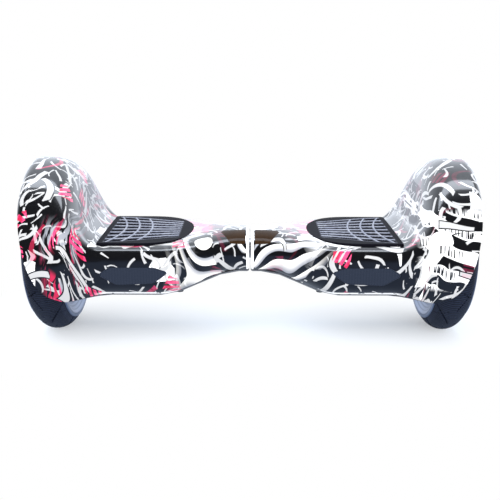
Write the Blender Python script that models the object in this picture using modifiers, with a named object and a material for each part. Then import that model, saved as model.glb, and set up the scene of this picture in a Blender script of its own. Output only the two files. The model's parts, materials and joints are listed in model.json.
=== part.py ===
"""Self balancing board with two 10 inch hub motor wheels, in metres.

X runs along the axles, -Y is the front and +Z is up. The origin is on the ground, under
the middle of the board. The board is two halves that twist about a pivot tube between the
feet. One half is described once, for the +X side, and made twice: the left one hangs on an
empty that mirrors it.
"""

import math

import bmesh
import bpy
from mathutils import Matrix, Vector

MM = 0.001

# ---- wheels ----
TYRE_RADIUS = 127 * MM
TYRE_HEIGHT = 26 * MM  # from the rim's bead seat to the tread
WHEEL_OFFSET = 290 * MM  # middle of the board to the middle of a tyre
RIM_WIDTH = 54 * MM
FLANGE_HEIGHT = 9 * MM
FLANGE_WIDTH = 3.5 * MM
RIM_WALL = 4 * MM
WEB_DEPTH = 8 * MM  # from the rim's inner flange in to its disc
WEB_THICKNESS = 4 * MM
VALVE_POCKET_RADIUS = 5 * MM
VALVE_POCKET_INSET = 11 * MM
VALVE_POCKET_TURN = 232  # degrees
TREAD_BULGE = 33 * MM  # half height of the tyre's oval section
TREAD_HALF_WIDTH = 29 * MM
TREAD_GROOVES = 11
GROOVE_WIDTH = 3.4 * MM
GROOVE_DEPTH = 2.4 * MM
GROOVE_START = 3 * MM  # from the tyre's middle
GROOVE_END = 25 * MM
GROOVE_LEAN = 0.3  # radians that a groove trails from the crown to the shoulder
GROOVE_SWEEP = 0.8  # 1 is straight, and less trails sooner
HUB_CAP_WALL = 2.5 * MM
HUB_CAP_SPOKES = 5
HUB_CAP_CROWN = 2.2 * MM  # how far its middle stands out of the rim
HUB_CAP_BOSS = 20 * MM

# ---- hub motor ----
AXLE_RADIUS = 8 * MM
AXLE_REACH = 92 * MM  # from its outer end into the board
STATOR_RADIUS = 55 * MM
STATOR_THICKNESS = 22 * MM
STATOR_TEETH = 12
MAGNET_THICKNESS = 3.5 * MM
AIR_GAP = 0.8 * MM
DRUM_WALL = 6 * MM
DRUM_HALF_LENGTH = 17 * MM
BEARING_RADIUS = 17.5 * MM
BEARING_WIDTH = 11 * MM
BEARING_WALL = 6 * MM  # metal round a bearing
COVER_THICKNESS = 4 * MM

# ---- body shells: heights are from the axle ----
SHELL_WALL = 3 * MM
FENDER_GAP = 4.5 * MM  # tyre crown to the inside of the arch
DECK_RISE = 23.5 * MM
BODY_DROP = 61 * MM  # axle to the underside
BULGE_DROP = 11 * MM  # axle to where the body is deepest
BODY_HALF_DEPTH = 104 * MM
DECK_SQUARENESS = 6.0  # exponents of the section's oval: 2 is an ellipse
BELLY_SQUARENESS = 3.5
NECK_SQUARENESS = 2.3
NECK_DROP = 5 * MM  # axle to the twist axis
NECK_HALF_HEIGHT = 32.5 * MM
NECK_HALF_DEPTH = 52 * MM
NECK_END = 16 * MM  # the neck starts to widen here
BODY_START = 128 * MM  # and has its full depth here
HALF_GAP = 2.4 * MM  # between the two halves
END_ROLL = 3 * MM  # radius of the shells' edge at that gap
ARCH_INSET = 45 * MM  # from the tyre's middle in to where the deck has risen half way
ARCH_STEEP = 7 * MM
ARCH_GENTLE = 9.5 * MM
CROWN_TURNS = (35, 95)  # degrees over which the crown's rise gives way to the sides' flare
FLARE_LENGTH = 17 * MM  # the sides start to widen this far before the mat's end
WELL_INSET = 36 * MM  # from the tyre's middle in to the wall of its well
FENDER_OVERHANG = 31 * MM  # and out to the arch's outer edge
FENDER_LIP_RADIUS = 14 * MM
FENDER_EDGE_DROP = 51 * MM  # axle to the arch's cut edge beside the body
FENDER_EDGE_INSET = 15.5 * MM  # from the crown down to the cut edge at its outer face
SHELL_SPLIT = 128  # degrees round the section, where the bottom shell takes over
SEAM_TURN = 2.6  # degrees of gap there
SEAM_EASE = 2.5  # degrees of flat skin on both sides of it

# ---- foot mats ----
MAT_LENGTH = 131 * MM
MAT_INSET = 73 * MM  # from the tyre's middle in to the mat
MAT_HALF_DEPTH = 88 * MM
MAT_THICKNESS = 5.6 * MM
MAT_PROUD = 1.2 * MM
MAT_TRAVEL = 1.5 * MM
MAT_GAP = 0.6 * MM
MAT_GROOVES = 8
MAT_GROOVE_WIDTH = 5.2 * MM
MAT_GROOVE_DEPTH = 1.6 * MM
MAT_RINGS = 3
MAT_RING_WIDTH = 3 * MM
MAT_RING_PITCH = 20 * MM
MAT_LEG_RADIUS = 4 * MM

# ---- pivot and frame ----
PIVOT_RADIUS = 15 * MM
PIVOT_WALL = 4 * MM
PIVOT_HALF_LENGTH = 66 * MM
BUSH_WALL = 3.4 * MM
BUSH_LENGTH = 16 * MM
RETAINING_RING_WIDTH = 3 * MM
SLEEVE_RADIUS = 25 * MM
SLEEVE_LENGTH = 54 * MM
FLANGE_START = 4 * MM
FLANGE_THICKNESS = 6 * MM
STOP_PIN_RADIUS = 4 * MM
STOP_PIN_OFFSET = 32 * MM
TWIST_LIMIT = 12  # degrees each way
PLATFORM_RISE = 9 * MM  # its top above the axle
PLATFORM_THICKNESS = 4 * MM
PLATFORM_HOLES = (118 * MM, 150 * MM, 182 * MM)
PLATFORM_INSET = 10 * MM  # inside the mat's edge
PLATFORM_HOLE_RADIUS = 9 * MM
RAIL_OFFSET = 46 * MM
RAIL_THICKNESS = 6 * MM
RAIL_DROP = 23 * MM
CLAMP_INSET = 44 * MM  # from the tyre's middle in to the axle clamp
CLAMP_LENGTH = 22 * MM
CLAMP_HALF_DEPTH = 32 * MM
CLAMP_DROP = 33 * MM
CLAMP_CAP_HEIGHT = 13 * MM
CLAMP_SCREW_OFFSET = 21 * MM
SCREW_RADIUS = 3 * MM
SCREW_HEAD_RADIUS = 5 * MM
SCREW_HEAD_HEIGHT = 4 * MM
SCREW_GRIP = 12 * MM  # length of a bottom screw in its rail
BOSS_RADIUS = 5.5 * MM
BULKHEAD_THICKNESS = 2.5 * MM
BULKHEAD_INSET = 6.4 * MM  # from the body's skin, measured towards its middle
BULKHEAD_AXLE_GAP = 3 * MM

# ---- things in the shells ----
LENS_LENGTH = 100 * MM
LENS_INSET = 3 * MM  # from the mat's outer end
LENS_DROP = 21.5 * MM  # below and above the body's deepest line
LENS_RISE = 4.5 * MM
LENS_PEG_LENGTH = 6 * MM
LENS_PEG_RADIUS = 2 * MM
LAMP_BOARD_HEIGHT = 14 * MM
LAMP_CHIPS = 6
WINDOW_INNER = 7 * MM
WINDOW_OUTER = 43 * MM
WINDOW_TILT = 36  # degrees from straight up to the middle of the window
WINDOW_HALF = 17 * MM
BATTERY_INNER = 99 * MM
BATTERY_DEPTH = 72 * MM
BATTERY_CLAMP_GAP = 7 * MM
BATTERY_FLOOR_GAP = 7.7 * MM
BATTERY_ROUNDING = 6 * MM
BOARD_THICKNESS = 1.6 * MM
SENSOR_X = 150 * MM
SENSOR_SIZE = (26 * MM, 104 * MM)
SENSOR_CHIP_HEIGHT = 2.5 * MM
SENSOR_CHIPS = ((-40 * MM, 8 * MM), (0, 12 * MM), (40 * MM, 8 * MM))  # (y, length)
MAIN_BOARD_INNER = 96 * MM
MAIN_BOARD_SIZE = (112 * MM, 70 * MM)
BOARD_DROP = 8 * MM  # length of the main board's posts
BOARD_POST_RADIUS = 3 * MM
CAPACITOR_RADIUS = 8 * MM
CAPACITOR_LENGTH = 26 * MM
PLUG_HEIGHT = 11 * MM
BUTTON_X = 142 * MM
SOCKET_X = 178 * MM
BUTTON_RADIUS = 7 * MM
BUTTON_PROUD = 1.2 * MM
BUTTON_LENGTH = 8 * MM  # behind the skin
COLLAR_WIDTH = 2.5 * MM  # flange behind the skin, on the button and the socket
COLLAR_THICKNESS = 2 * MM
SOCKET_RADIUS = 9 * MM
SOCKET_BORE = 6.5 * MM
SOCKET_DEPTH = 18 * MM
SOCKET_FLOOR = 4 * MM
SOCKET_MIDDLE = 0.2 * MM  # radius at which a turned face closes
CAP_RADIUS = 12.5 * MM
CAP_THICKNESS = 2 * MM

CLEARANCE = 0.3 * MM
SINK = 0.5 * MM  # how far joined shapes run into each other
CUT_REACH = 40 * MM  # depth of a cutter that passes through a skin

AXLE_HEIGHT = TYRE_RADIUS
RIM_SEAT_RADIUS = TYRE_RADIUS - TYRE_HEIGHT
RIM_FLANGE_RADIUS = RIM_SEAT_RADIUS + FLANGE_HEIGHT
BARREL_RADIUS = RIM_SEAT_RADIUS - RIM_WALL
HUB_CAP_RADIUS = BARREL_RADIUS - CLEARANCE
FENDER_RADIUS = TYRE_RADIUS + FENDER_GAP + SHELL_WALL
DECK_HEIGHT = AXLE_HEIGHT + DECK_RISE
BODY_BOTTOM = AXLE_HEIGHT - BODY_DROP
BULGE_HEIGHT = AXLE_HEIGHT - BULGE_DROP
NECK_HEIGHT = AXLE_HEIGHT - NECK_DROP
ARCH_MIDDLE = WHEEL_OFFSET - ARCH_INSET
WELL_WALL = WHEEL_OFFSET - WELL_INSET
FENDER_OUTER = WHEEL_OFFSET + FENDER_OVERHANG
FENDER_EDGE_LOW = AXLE_HEIGHT - FENDER_EDGE_DROP
FENDER_EDGE_HIGH = AXLE_HEIGHT + FENDER_RADIUS - FENDER_EDGE_INSET
MAT_OUTER = WHEEL_OFFSET - MAT_INSET
MAT_INNER = MAT_OUTER - MAT_LENGTH
MAT_TOP = DECK_HEIGHT + MAT_PROUD
MAT_UNDER = MAT_TOP - MAT_THICKNESS
SIDES_FLARE = MAT_OUTER - FLARE_LENGTH
PLATFORM_TOP = AXLE_HEIGHT + PLATFORM_RISE
PLATFORM_BOTTOM = PLATFORM_TOP - PLATFORM_THICKNESS
RAIL_BOTTOM = AXLE_HEIGHT - RAIL_DROP
RAIL_BEND = BODY_START - 36 * MM  # the rails run straight from here
CLAMP_OUTER = WHEEL_OFFSET - CLAMP_INSET
CLAMP_INNER = CLAMP_OUTER - CLAMP_LENGTH
CLAMP_BASE = AXLE_HEIGHT - CLAMP_DROP
CLAMP_SCREW_END = CLAMP_BASE + 8 * MM
PLATFORM_END = CLAMP_INNER - 3 * MM
LENS_OUTER = MAT_OUTER - LENS_INSET
LENS_INNER = LENS_OUTER - LENS_LENGTH
LENS_LOW = BULGE_HEIGHT - LENS_DROP
LENS_HIGH = BULGE_HEIGHT + LENS_RISE
MAGNET_RADIUS = STATOR_RADIUS + AIR_GAP + MAGNET_THICKNESS
DRUM_BORE = MAGNET_RADIUS + CLEARANCE
DRUM_RADIUS = DRUM_BORE + DRUM_WALL
BEARING_SEAT = BEARING_RADIUS + CLEARANCE
STATOR_HALF = STATOR_THICKNESS / 2
AXLE_OUTER = STATOR_HALF + 2 * CLEARANCE + BEARING_WIDTH + 2 * MM
WHEEL_CENTRE = (WHEEL_OFFSET, 0, AXLE_HEIGHT)
BUSH_SEAT = PIVOT_RADIUS + BUSH_WALL + 2 * CLEARANCE
FLOOR_TOP = BODY_BOTTOM + SHELL_WALL
BUTTON_HEIGHT = BULGE_HEIGHT
COLLAR_FACE = BODY_HALF_DEPTH - SHELL_WALL - 4 * CLEARANCE  # clear of the skin's curve

WHEEL_SIDES = 30
TUBE_SIDES = 18
ROD_SIDES = 12
SCREW_SIDES = 8

SLOTS = {  # colour, roughness, metallic
    "printed_shell": ((0.03, 0.03, 0.035), 0.08, 0.0),
    "black_plastic": ((0.03, 0.03, 0.033), 0.45, 0.0),
    "rubber_mat": ((0.05, 0.055, 0.07), 0.6, 0.0),
    "tyre_rubber": ((0.035, 0.037, 0.045), 0.7, 0.0),
    "rim_alloy": ((0.55, 0.58, 0.66), 0.32, 1.0),
    "cast_alloy": ((0.6, 0.6, 0.62), 0.5, 1.0),
    "steel": ((0.5, 0.5, 0.52), 0.3, 1.0),
    "copper": ((0.6, 0.3, 0.16), 0.4, 1.0),
    "smoked_lens": ((0.04, 0.045, 0.06), 0.05, 0.0),
    "circuit_board": ((0.02, 0.16, 0.07), 0.4, 0.0),
    "battery_wrap": ((0.05, 0.16, 0.5), 0.4, 0.0),
    "bronze": ((0.5, 0.33, 0.14), 0.35, 1.0),
}


# ---------------------------------------------------------------- scene and helpers


def clear_scene():
    for obj in list(bpy.data.objects):
        bpy.data.objects.remove(obj)


def collection(name):
    made = bpy.data.collections.new(name)
    bpy.context.scene.collection.children.link(made)
    return made


def make_materials():
    made = {}
    for name, (colour, roughness, metallic) in SLOTS.items():
        material = bpy.data.materials.new(name)
        material.use_nodes = True
        shader = material.node_tree.nodes["Principled BSDF"]
        shader.inputs["Base Color"].default_value = (*colour, 1.0)
        shader.inputs["Roughness"].default_value = roughness
        shader.inputs["Metallic"].default_value = metallic
        made[name] = material
    return made


def add_object(name, data, slot, parent, origin=(0, 0, 0)):
    """A part, placed at origin in its half's frame."""
    obj = bpy.data.objects.new(name, data)
    PARTS.objects.link(obj)
    obj.parent = parent
    obj.location = origin
    obj.data.materials.append(MATERIALS[slot])
    return obj


def helper(name, data, parent, origin=(0, 0, 0)):
    """A cutter, or a shape that a Boolean joins to a part."""
    obj = bpy.data.objects.new(name, data)
    HELPERS.objects.link(obj)
    obj.parent = parent
    obj.location = origin
    obj.hide_render = True
    obj.display_type = "WIRE"
    return obj


def boolean(obj, other, operation):
    modifier = obj.modifiers.new(operation.lower(), "BOOLEAN")
    modifier.object = other
    modifier.operation = operation
    modifier.solver = "EXACT"


def solidify(obj, thickness):
    modifier = obj.modifiers.new("wall", "SOLIDIFY")
    modifier.thickness = thickness
    modifier.offset = -1


def finish_mesh(bm, name, smooth=True):
    bmesh.ops.recalc_face_normals(bm, faces=bm.faces)
    mesh = bpy.data.meshes.new(name)
    bm.to_mesh(mesh)
    bm.free()
    if smooth:
        mesh.shade_smooth()
        mesh.set_sharp_from_angle(angle=math.radians(35))
    return mesh


def box_mesh(name, low, high):
    """A box between two corners."""
    low, high = Vector(low), Vector(high)
    bm = bmesh.new()
    placed = Matrix.Translation((low + high) / 2) @ Matrix.Diagonal((*(high - low), 1))
    bmesh.ops.create_cube(bm, size=1, matrix=placed)
    return finish_mesh(bm, name, smooth=False)


def rod_mesh(name, radius, start, end, sides=ROD_SIDES):
    """A solid rod between two points."""
    start, end = Vector(start), Vector(end)
    turn = (end - start).to_track_quat("Z", "Y").to_matrix().to_4x4()
    bm = bmesh.new()
    bmesh.ops.create_cone(
        bm,
        cap_ends=True,
        segments=sides,
        radius1=radius,
        radius2=radius,
        depth=(end - start).length,
        matrix=Matrix.Translation((start + end) / 2) @ turn,
    )
    return finish_mesh(bm, name)


def block_mesh(name, middle, size):
    """A box round its middle."""
    middle, half = Vector(middle), Vector(size) / 2
    return box_mesh(name, middle - half, middle + half)


def profile_mesh(name, profile):
    """A closed outline of (along, radius) pairs, in the XZ plane, for a Screw about X."""
    area = sum(
        a[0] * b[1] - b[0] * a[1] for a, b in zip(profile, profile[1:] + profile[:1])
    )
    points = profile if area > 0 else profile[::-1]
    mesh = bpy.data.meshes.new(name)
    edges = [(i, (i + 1) % len(points)) for i in range(len(points))]
    mesh.from_pydata([(x, 0, r) for x, r in points], edges, [])
    return mesh


def turned(obj, sides, axis="X"):
    """Turns a profile once about its own axis."""
    screw = obj.modifiers.new("turn", "SCREW")
    screw.axis = axis
    screw.steps = screw.render_steps = sides
    screw.use_merge_vertices = True
    screw.merge_threshold = 0.01 * MM
    return obj


def ring_profile(inner, outer, start, end):
    return [(start, inner), (end, inner), (end, outer), (start, outer)]


def plate_mesh(name, outline, thickness, matrix):
    """A flat outline drawn as a 2D curve, thickened both ways and made a mesh."""
    curve = bpy.data.curves.new(name, "CURVE")
    curve.dimensions = "2D"
    curve.fill_mode = "BOTH"
    curve.extrude = thickness / 2
    spline = curve.splines.new("POLY")
    spline.points.add(len(outline) - 1)
    for point, (u, v) in zip(spline.points, outline):
        point.co = (u, v, 0, 1)
    spline.use_cyclic_u = True
    drawn = bpy.data.objects.new(name, curve)
    bpy.context.scene.collection.objects.link(drawn)
    graph = bpy.context.evaluated_depsgraph_get()
    mesh = bpy.data.meshes.new_from_object(drawn.evaluated_get(graph))
    bpy.data.objects.remove(drawn)
    bpy.data.curves.remove(curve)
    bm = bmesh.new()
    bm.from_mesh(mesh)
    bmesh.ops.remove_doubles(bm, verts=bm.verts, dist=0.001 * MM)
    bmesh.ops.transform(bm, matrix=matrix, verts=bm.verts)
    return finish_mesh(bm, name)


def add_loft(bm, rows, closed=True):
    """Quads between rows of points. A closed loft joins each row's ends and caps both ends."""
    grid = [[bm.verts.new(point) for point in row] for row in rows]
    count = len(rows[0])
    for a, b in zip(grid, grid[1:]):
        for j in range(count if closed else count - 1):
            k = (j + 1) % count
            bm.faces.new((a[j], a[k], b[k], b[j]))
    if closed:
        bm.faces.new(grid[0][::-1])
        bm.faces.new(grid[-1])


def loft_mesh(name, rows, closed=False):
    bm = bmesh.new()
    add_loft(bm, rows, closed)
    if closed:
        return finish_mesh(bm, name)
    mesh = bpy.data.meshes.new(name)
    bm.to_mesh(mesh)
    bm.free()
    mesh.shade_smooth()
    return mesh


def arc(centre, radius, start, end, steps):
    """Points round part of a circle, angles in degrees."""
    angles = [math.radians(start + (end - start) * i / steps) for i in range(steps + 1)]
    return [
        (centre[0] + radius * math.cos(a), centre[1] + radius * math.sin(a))
        for a in angles
    ]


def rounded(corners, steps=3):
    """An outline whose corners (u, v, radius) are rounded."""
    points = []
    for i, (u, v, radius) in enumerate(corners):
        here = Vector((u, v))
        before = (Vector(corners[i - 1][:2]) - here).normalized()
        after = (Vector(corners[(i + 1) % len(corners)][:2]) - here).normalized()
        half = before.angle(after) / 2
        centre = here + (before + after).normalized() * radius / math.sin(half)
        reach = radius / math.tan(half)
        first, last = here + before * reach - centre, here + after * reach - centre
        for k in range(steps + 1):
            points.append(tuple(centre + radius * first.slerp(last, k / steps)))
    return points


def smooth(value, low, high):
    """0 below low, 1 above high, and an even ease between."""
    t = min(1.0, max(0.0, (value - low) / (high - low)))
    return t * t * (3 - 2 * t)


def mix(a, b, t):
    return a + (b - a) * t


# ---------------------------------------------------------------- the shells' shape


def body_point(x, turn):
    """The body's section at x, an oval whose top and belly have their own heights and
    squareness: (depth, height) at a turn of 0 at the crown to 180 at the underside."""
    t = smooth(x, NECK_END, BODY_START)
    middle = mix(NECK_HEIGHT, BULGE_HEIGHT, t)
    along, up = math.sin(math.radians(turn)), math.cos(math.radians(turn))
    if turn <= 90:
        rise = mix(NECK_HALF_HEIGHT, DECK_HEIGHT - BULGE_HEIGHT, t)
        squareness = mix(NECK_SQUARENESS, DECK_SQUARENESS, t)
    else:
        rise = mix(NECK_HALF_HEIGHT, BULGE_HEIGHT - BODY_BOTTOM, t)
        squareness = mix(NECK_SQUARENESS, BELLY_SQUARENESS, t)
    depth = mix(NECK_HALF_DEPTH, BODY_HALF_DEPTH, t) * max(0.0, along) ** (2 / squareness)
    return depth, middle + math.copysign(rise * abs(up) ** (2 / squareness), up)


def fender_point(x, turn):
    """The arch at x, as (depth, height), for a turn of 0 at the crown to SHELL_SPLIT at
    its lowest edge."""
    over = min(max(0.0, x - FENDER_OUTER + FENDER_LIP_RADIUS), FENDER_LIP_RADIUS)
    drop = FENDER_LIP_RADIUS - math.sqrt(FENDER_LIP_RADIUS**2 - over**2)
    radius = FENDER_RADIUS - drop
    end = math.acos((FENDER_EDGE_LOW - AXLE_HEIGHT) / radius)
    angle = end * turn / SHELL_SPLIT
    return radius * math.sin(angle), AXLE_HEIGHT + radius * math.cos(angle)


def arch_share(x, turn):
    """How far the section at x has turned from body to arch, 0 to 1. The crown rises
    late and steeply, and the front and back widen early and gently."""
    steepness = mix(ARCH_STEEP, ARCH_GENTLE, smooth(x, ARCH_MIDDLE, ARCH_MIDDLE + 20 * MM))
    crown = 1 / (1 + math.exp((ARCH_MIDDLE - x) / steepness))
    foot = 1 / (1 + math.exp((ARCH_MIDDLE - MAT_OUTER) / ARCH_STEEP))
    crown = max(0.0, (crown - foot) / (1 - foot))
    sides = smooth(x, SIDES_FLARE, WELL_WALL + 8 * MM)
    return mix(crown, sides, smooth(turn, *CROWN_TURNS))


def end_roll(x):
    """How far the shell's edge beside the gap between the halves has rolled in."""
    inside = min(END_ROLL, max(0.0, HALF_GAP / 2 + END_ROLL - x))
    return END_ROLL - math.sqrt(END_ROLL**2 - inside**2)


def section_point(x, turn):
    """A point (depth, height) of the outer skin at x."""
    depth, height = body_point(x, turn)
    share = arch_share(x, turn)
    if turn <= SHELL_SPLIT:
        arch = fender_point(max(x, WELL_WALL), turn)
    else:
        edge = fender_point(WELL_WALL, SHELL_SPLIT)
        seam = body_point(x, SHELL_SPLIT)
        lift = (edge[1] - BODY_BOTTOM) / (seam[1] - BODY_BOTTOM)
        arch = (depth * edge[0] / seam[0], BODY_BOTTOM + (height - BODY_BOTTOM) * lift)
    depth, height = mix(depth, arch[0], share), mix(height, arch[1], share)
    out = Vector((depth, height - NECK_HEIGHT))
    rolled = out * (1 - end_roll(x) / out.length)
    return rolled.x, NECK_HEIGHT + rolled.y


def skin_row(x, turns):
    """Points of the skin at x. A turn below 0 is on the front, and above 0 on the back."""
    row = []
    for turn in turns:
        depth, height = section_point(x, abs(turn))
        row.append((x, math.copysign(depth, turn), height))
    return row


def top_turns():
    """From the back seam over the crown to the front one."""
    steps = [12, 30, 46, 60, 75, 91, 109, SHELL_SPLIT - SEAM_EASE, SHELL_SPLIT]
    return [*reversed(steps), 0, *(-t for t in steps)]


def bottom_turns():
    """From the front seam under the belly to the back one."""
    seam = SHELL_SPLIT + SEAM_TURN
    steps = [seam, seam + SEAM_EASE, 146, 164]
    return [-t for t in steps] + [180] + list(reversed(steps))


def skin_stations():
    """Where the skin's rows are: close together where it bends."""
    rows = [HALF_GAP / 2 + d for d in (0, 1 * MM, END_ROLL)]
    rows += [mix(NECK_END, BODY_START, i / 4) for i in range(5)]
    rows += [mix(BODY_START, SIDES_FLARE, i / 2) for i in (1, 2)]
    rows += [mix(MAT_OUTER, WELL_WALL, t) for t in (0, 0.32, 0.54, 0.73, 0.89)]
    lip = FENDER_OUTER - FENDER_LIP_RADIUS
    rows += [mix(WELL_WALL, lip, t) for t in (0, 0.13, 0.3, 0.57)]
    rows += [lip + FENDER_LIP_RADIUS * math.sin(math.radians(a)) for a in (0, 30, 56)]
    return rows


def skin_mesh(name, stations, turns):
    return loft_mesh(name, [skin_row(x, turns) for x in stations])


def skin_patch(name, low, high, turns):
    """The skin between two stations, for a piece that fits into the shell."""
    middle = [x for x in skin_stations() if low < x < high]
    return skin_mesh(name, [low, *middle, high], turns)


# ---------------------------------------------------------------- outlines


def mat_outline(grow=0.0, steps=5):
    """Plan of a foot mat: square at the wheel end and drawn in to a round nose."""
    nose, outer = MAT_INNER - grow, MAT_OUTER + grow
    wide = MAT_HALF_DEPTH + grow
    shoulder = mix(MAT_INNER, MAT_OUTER, 0.62)
    corner = 5 * MM
    side = []
    for i in range(steps + 1):
        angle = math.radians(90 * i / steps)
        along = (shoulder - nose) * math.sin(angle) ** 0.8
        side.append((shoulder - along, wide * (1 - (1 - math.cos(angle)) ** 1.15)))
    front = [(outer, wide - corner), (outer - corner, wide), *side[:-1]]
    back = [(x, -y) for x, y in reversed(front)]
    return front + [side[-1]] + back


def lens_outline(grow=0.0):
    """The head lamp's almond, as (x, height)."""
    inner, outer = LENS_INNER - grow, LENS_OUTER + grow
    low, high = LENS_LOW - grow, LENS_HIGH + grow
    rise, run = high - low, outer - inner
    return rounded(
        [
            (inner, low + 0.72 * rise, 3 * MM),
            (inner + 0.22 * run, low + 0.1 * rise, 12 * MM),
            (inner + 0.74 * run, low, 14 * MM),
            (outer, low + 0.62 * rise, 4 * MM),
            (outer - 0.18 * run, high, 6 * MM),
            (inner + 0.2 * run, high, 8 * MM),
        ]
    )


def window_outline(grow=0.0):
    """The indicator window beside the neck, as (x, distance down the slope)."""
    inner, outer = WINDOW_INNER - grow, WINDOW_OUTER + grow
    half = WINDOW_HALF + grow
    run = outer - inner
    return rounded(
        [
            (inner, -half, 2.5 * MM),
            (inner + 0.62 * run, -half, 3 * MM),
            (outer, 0.35 * half, 3 * MM),
            (outer - 0.08 * run, 0.8 * half, 3 * MM),
            (inner, half, 2.5 * MM),
        ]
    )


def upright(middle_y=0.0):
    """Stands a plate's outline (u, v) up as (x, z), its thickness along Y."""
    return Matrix.Translation((0, middle_y, 0)) @ Matrix.Rotation(math.pi / 2, 4, "X")


def across(middle_x):
    """Turns a plate's outline (u, v) to (y, z), its thickness along X."""
    return Matrix.Translation((middle_x, 0, 0)) @ Matrix(
        ((0, 0, 1, 0), (1, 0, 0, 0), (0, 1, 0, 0), (0, 0, 0, 1))
    )


def level(middle_z):
    return Matrix.Translation((0, 0, middle_z))


def window_matrix():
    """Lays the window's outline over the front slope of the neck."""
    lean = math.radians(WINDOW_TILT)
    middle = Vector((0, -NECK_HALF_DEPTH * math.sin(lean), NECK_HEIGHT))
    middle.z += NECK_HALF_HEIGHT * math.cos(lean)
    return Matrix.Translation(middle) @ Matrix.Rotation(lean, 4, "X")


# ---------------------------------------------------------------- shells


def cut(obj, name, mesh, side, origin=(0, 0, 0), operation="DIFFERENCE"):
    cutter = helper(f"{name}_{side.name}", mesh, side.empty, origin)
    boolean(obj, cutter, operation)
    return cutter


def edge_sweep():
    """What the arch lacks, seen from the front: its edge climbs from the body to the
    outer face of the crown, which leaves the tyre's shoulder bare."""
    start, end = WELL_WALL + 2 * MM, FENDER_OUTER + 2 * MM
    points = []
    for i in range(8):
        t = i / 7
        climb = 0.12 * t + 0.88 * t**4
        points.append((mix(start, end, t), mix(FENDER_EDGE_LOW, FENDER_EDGE_HIGH, climb)))
    low = FENDER_EDGE_LOW - 20 * MM
    outline = [*points, (end, low), (start, low)]
    return plate_mesh("edge_sweep", outline, 3 * FENDER_RADIUS, upright())


def mat_hole(grow):
    outline = mat_outline(grow)
    return plate_mesh("mat_hole", outline, CUT_REACH, level(DECK_HEIGHT))


def lens_prism(grow):
    middle = upright(-BODY_HALF_DEPTH)
    return plate_mesh("lens_prism", lens_outline(grow), CUT_REACH, middle)


def window_prism(grow):
    outline = window_outline(grow)
    return plate_mesh("window_prism", outline, CUT_REACH, window_matrix())


def upper_shell(side):
    """Deck, front, back and wheel arch in one moulding."""
    mesh = skin_mesh("upper_shell", skin_stations(), top_turns())
    shell = side.add("upper_shell", mesh, "printed_shell")
    solidify(shell, SHELL_WALL)
    cut(shell, "edge_sweep", edge_sweep(), side)
    cut(shell, "mat_hole", mat_hole(MAT_GAP), side)
    cut(shell, "lens_hole", lens_prism(CLEARANCE), side)
    cut(shell, "window_hole", window_prism(CLEARANCE), side)
    return shell


def boss_places():
    """The screws that hold the bottom shell go up into the frame's rails here."""
    return [
        (BODY_START - 24 * MM, -RAIL_OFFSET),
        (BODY_START - 24 * MM, RAIL_OFFSET),
        (PLATFORM_END - BOSS_RADIUS, RAIL_OFFSET),
    ]


def lower_shell(side):
    """Bottom cover, with a boss for each screw."""
    stations = [x for x in skin_stations() if x < WELL_WALL - 1 * MM]
    mesh = skin_mesh("lower_shell", stations, bottom_turns())
    shell = side.add("lower_shell", mesh, "black_plastic")
    solidify(shell, SHELL_WALL)
    for i, (x, y) in enumerate(boss_places()):
        foot = (x, y, FLOOR_TOP - SHELL_WALL / 2)
        top = (x, y, RAIL_BOTTOM - CLEARANCE)
        boss = rod_mesh("boss", BOSS_RADIUS, foot, top, SCREW_SIDES)
        cut(shell, f"boss_{i}", boss, side, operation="UNION")
        pocket = rod_mesh(
            "screw_pocket",
            SCREW_HEAD_RADIUS + CLEARANCE,
            (x, y, BODY_BOTTOM - SHELL_WALL),
            (x, y, screw_seat() + SCREW_HEAD_HEIGHT),
            SCREW_SIDES,
        )
        hole_radius = SCREW_RADIUS + CLEARANCE
        hole_end = (x, y, RAIL_BOTTOM + SHELL_WALL)
        hole = rod_mesh("hole", hole_radius, (x, y, BODY_BOTTOM), hole_end, SCREW_SIDES)
        cut(shell, f"screw_pocket_{i}", pocket, side)
        cut(shell, f"screw_hole_{i}", hole, side)
    return shell


def screw_seat():
    """Underside of the heads of the bottom screws, a little inside the cover."""
    return BODY_BOTTOM + 1 * MM


def shell_screws(side):
    """Pan-head screws from below, through the bosses into the rails."""
    for i, (x, y) in enumerate(boss_places()):
        head_top = screw_seat() + SCREW_HEAD_HEIGHT - CLEARANCE
        screw = screw_mesh(head_top, RAIL_BOTTOM + SCREW_GRIP)
        side.add(f"shell_screw_{'abc'[i]}", screw, "steel", (x, y, 0))


def screw_mesh(seat, end):
    """A screw standing on Z: its head's flat is at the seat, and its tip at the end."""
    way = math.copysign(1, end - seat)
    head_end = seat - way * (SCREW_HEAD_HEIGHT - 2 * CLEARANCE)
    profile = [
        (head_end, SCREW_HEAD_RADIUS - 1 * MM),
        (head_end + way * 1 * MM, SCREW_HEAD_RADIUS),
        (seat, SCREW_HEAD_RADIUS),
        (seat, SCREW_RADIUS),
        (end, SCREW_RADIUS),
    ]
    return lathe_mesh("screw", profile, SCREW_SIDES, "Z")


def lathe_mesh(name, profile, sides, axis="X"):
    """A closed solid turned about an axis from (along, radius) points, capped at both
    ends."""
    rows = []
    for along, radius in profile:
        row = []
        for i in range(sides):
            angle = 2 * math.pi * i / sides
            u, v = radius * math.cos(angle), radius * math.sin(angle)
            row.append({"X": (along, v, u), "Y": (v, along, u), "Z": (u, v, along)}[axis])
        rows.append(row)
    return loft_mesh(name, rows, closed=True)


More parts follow.
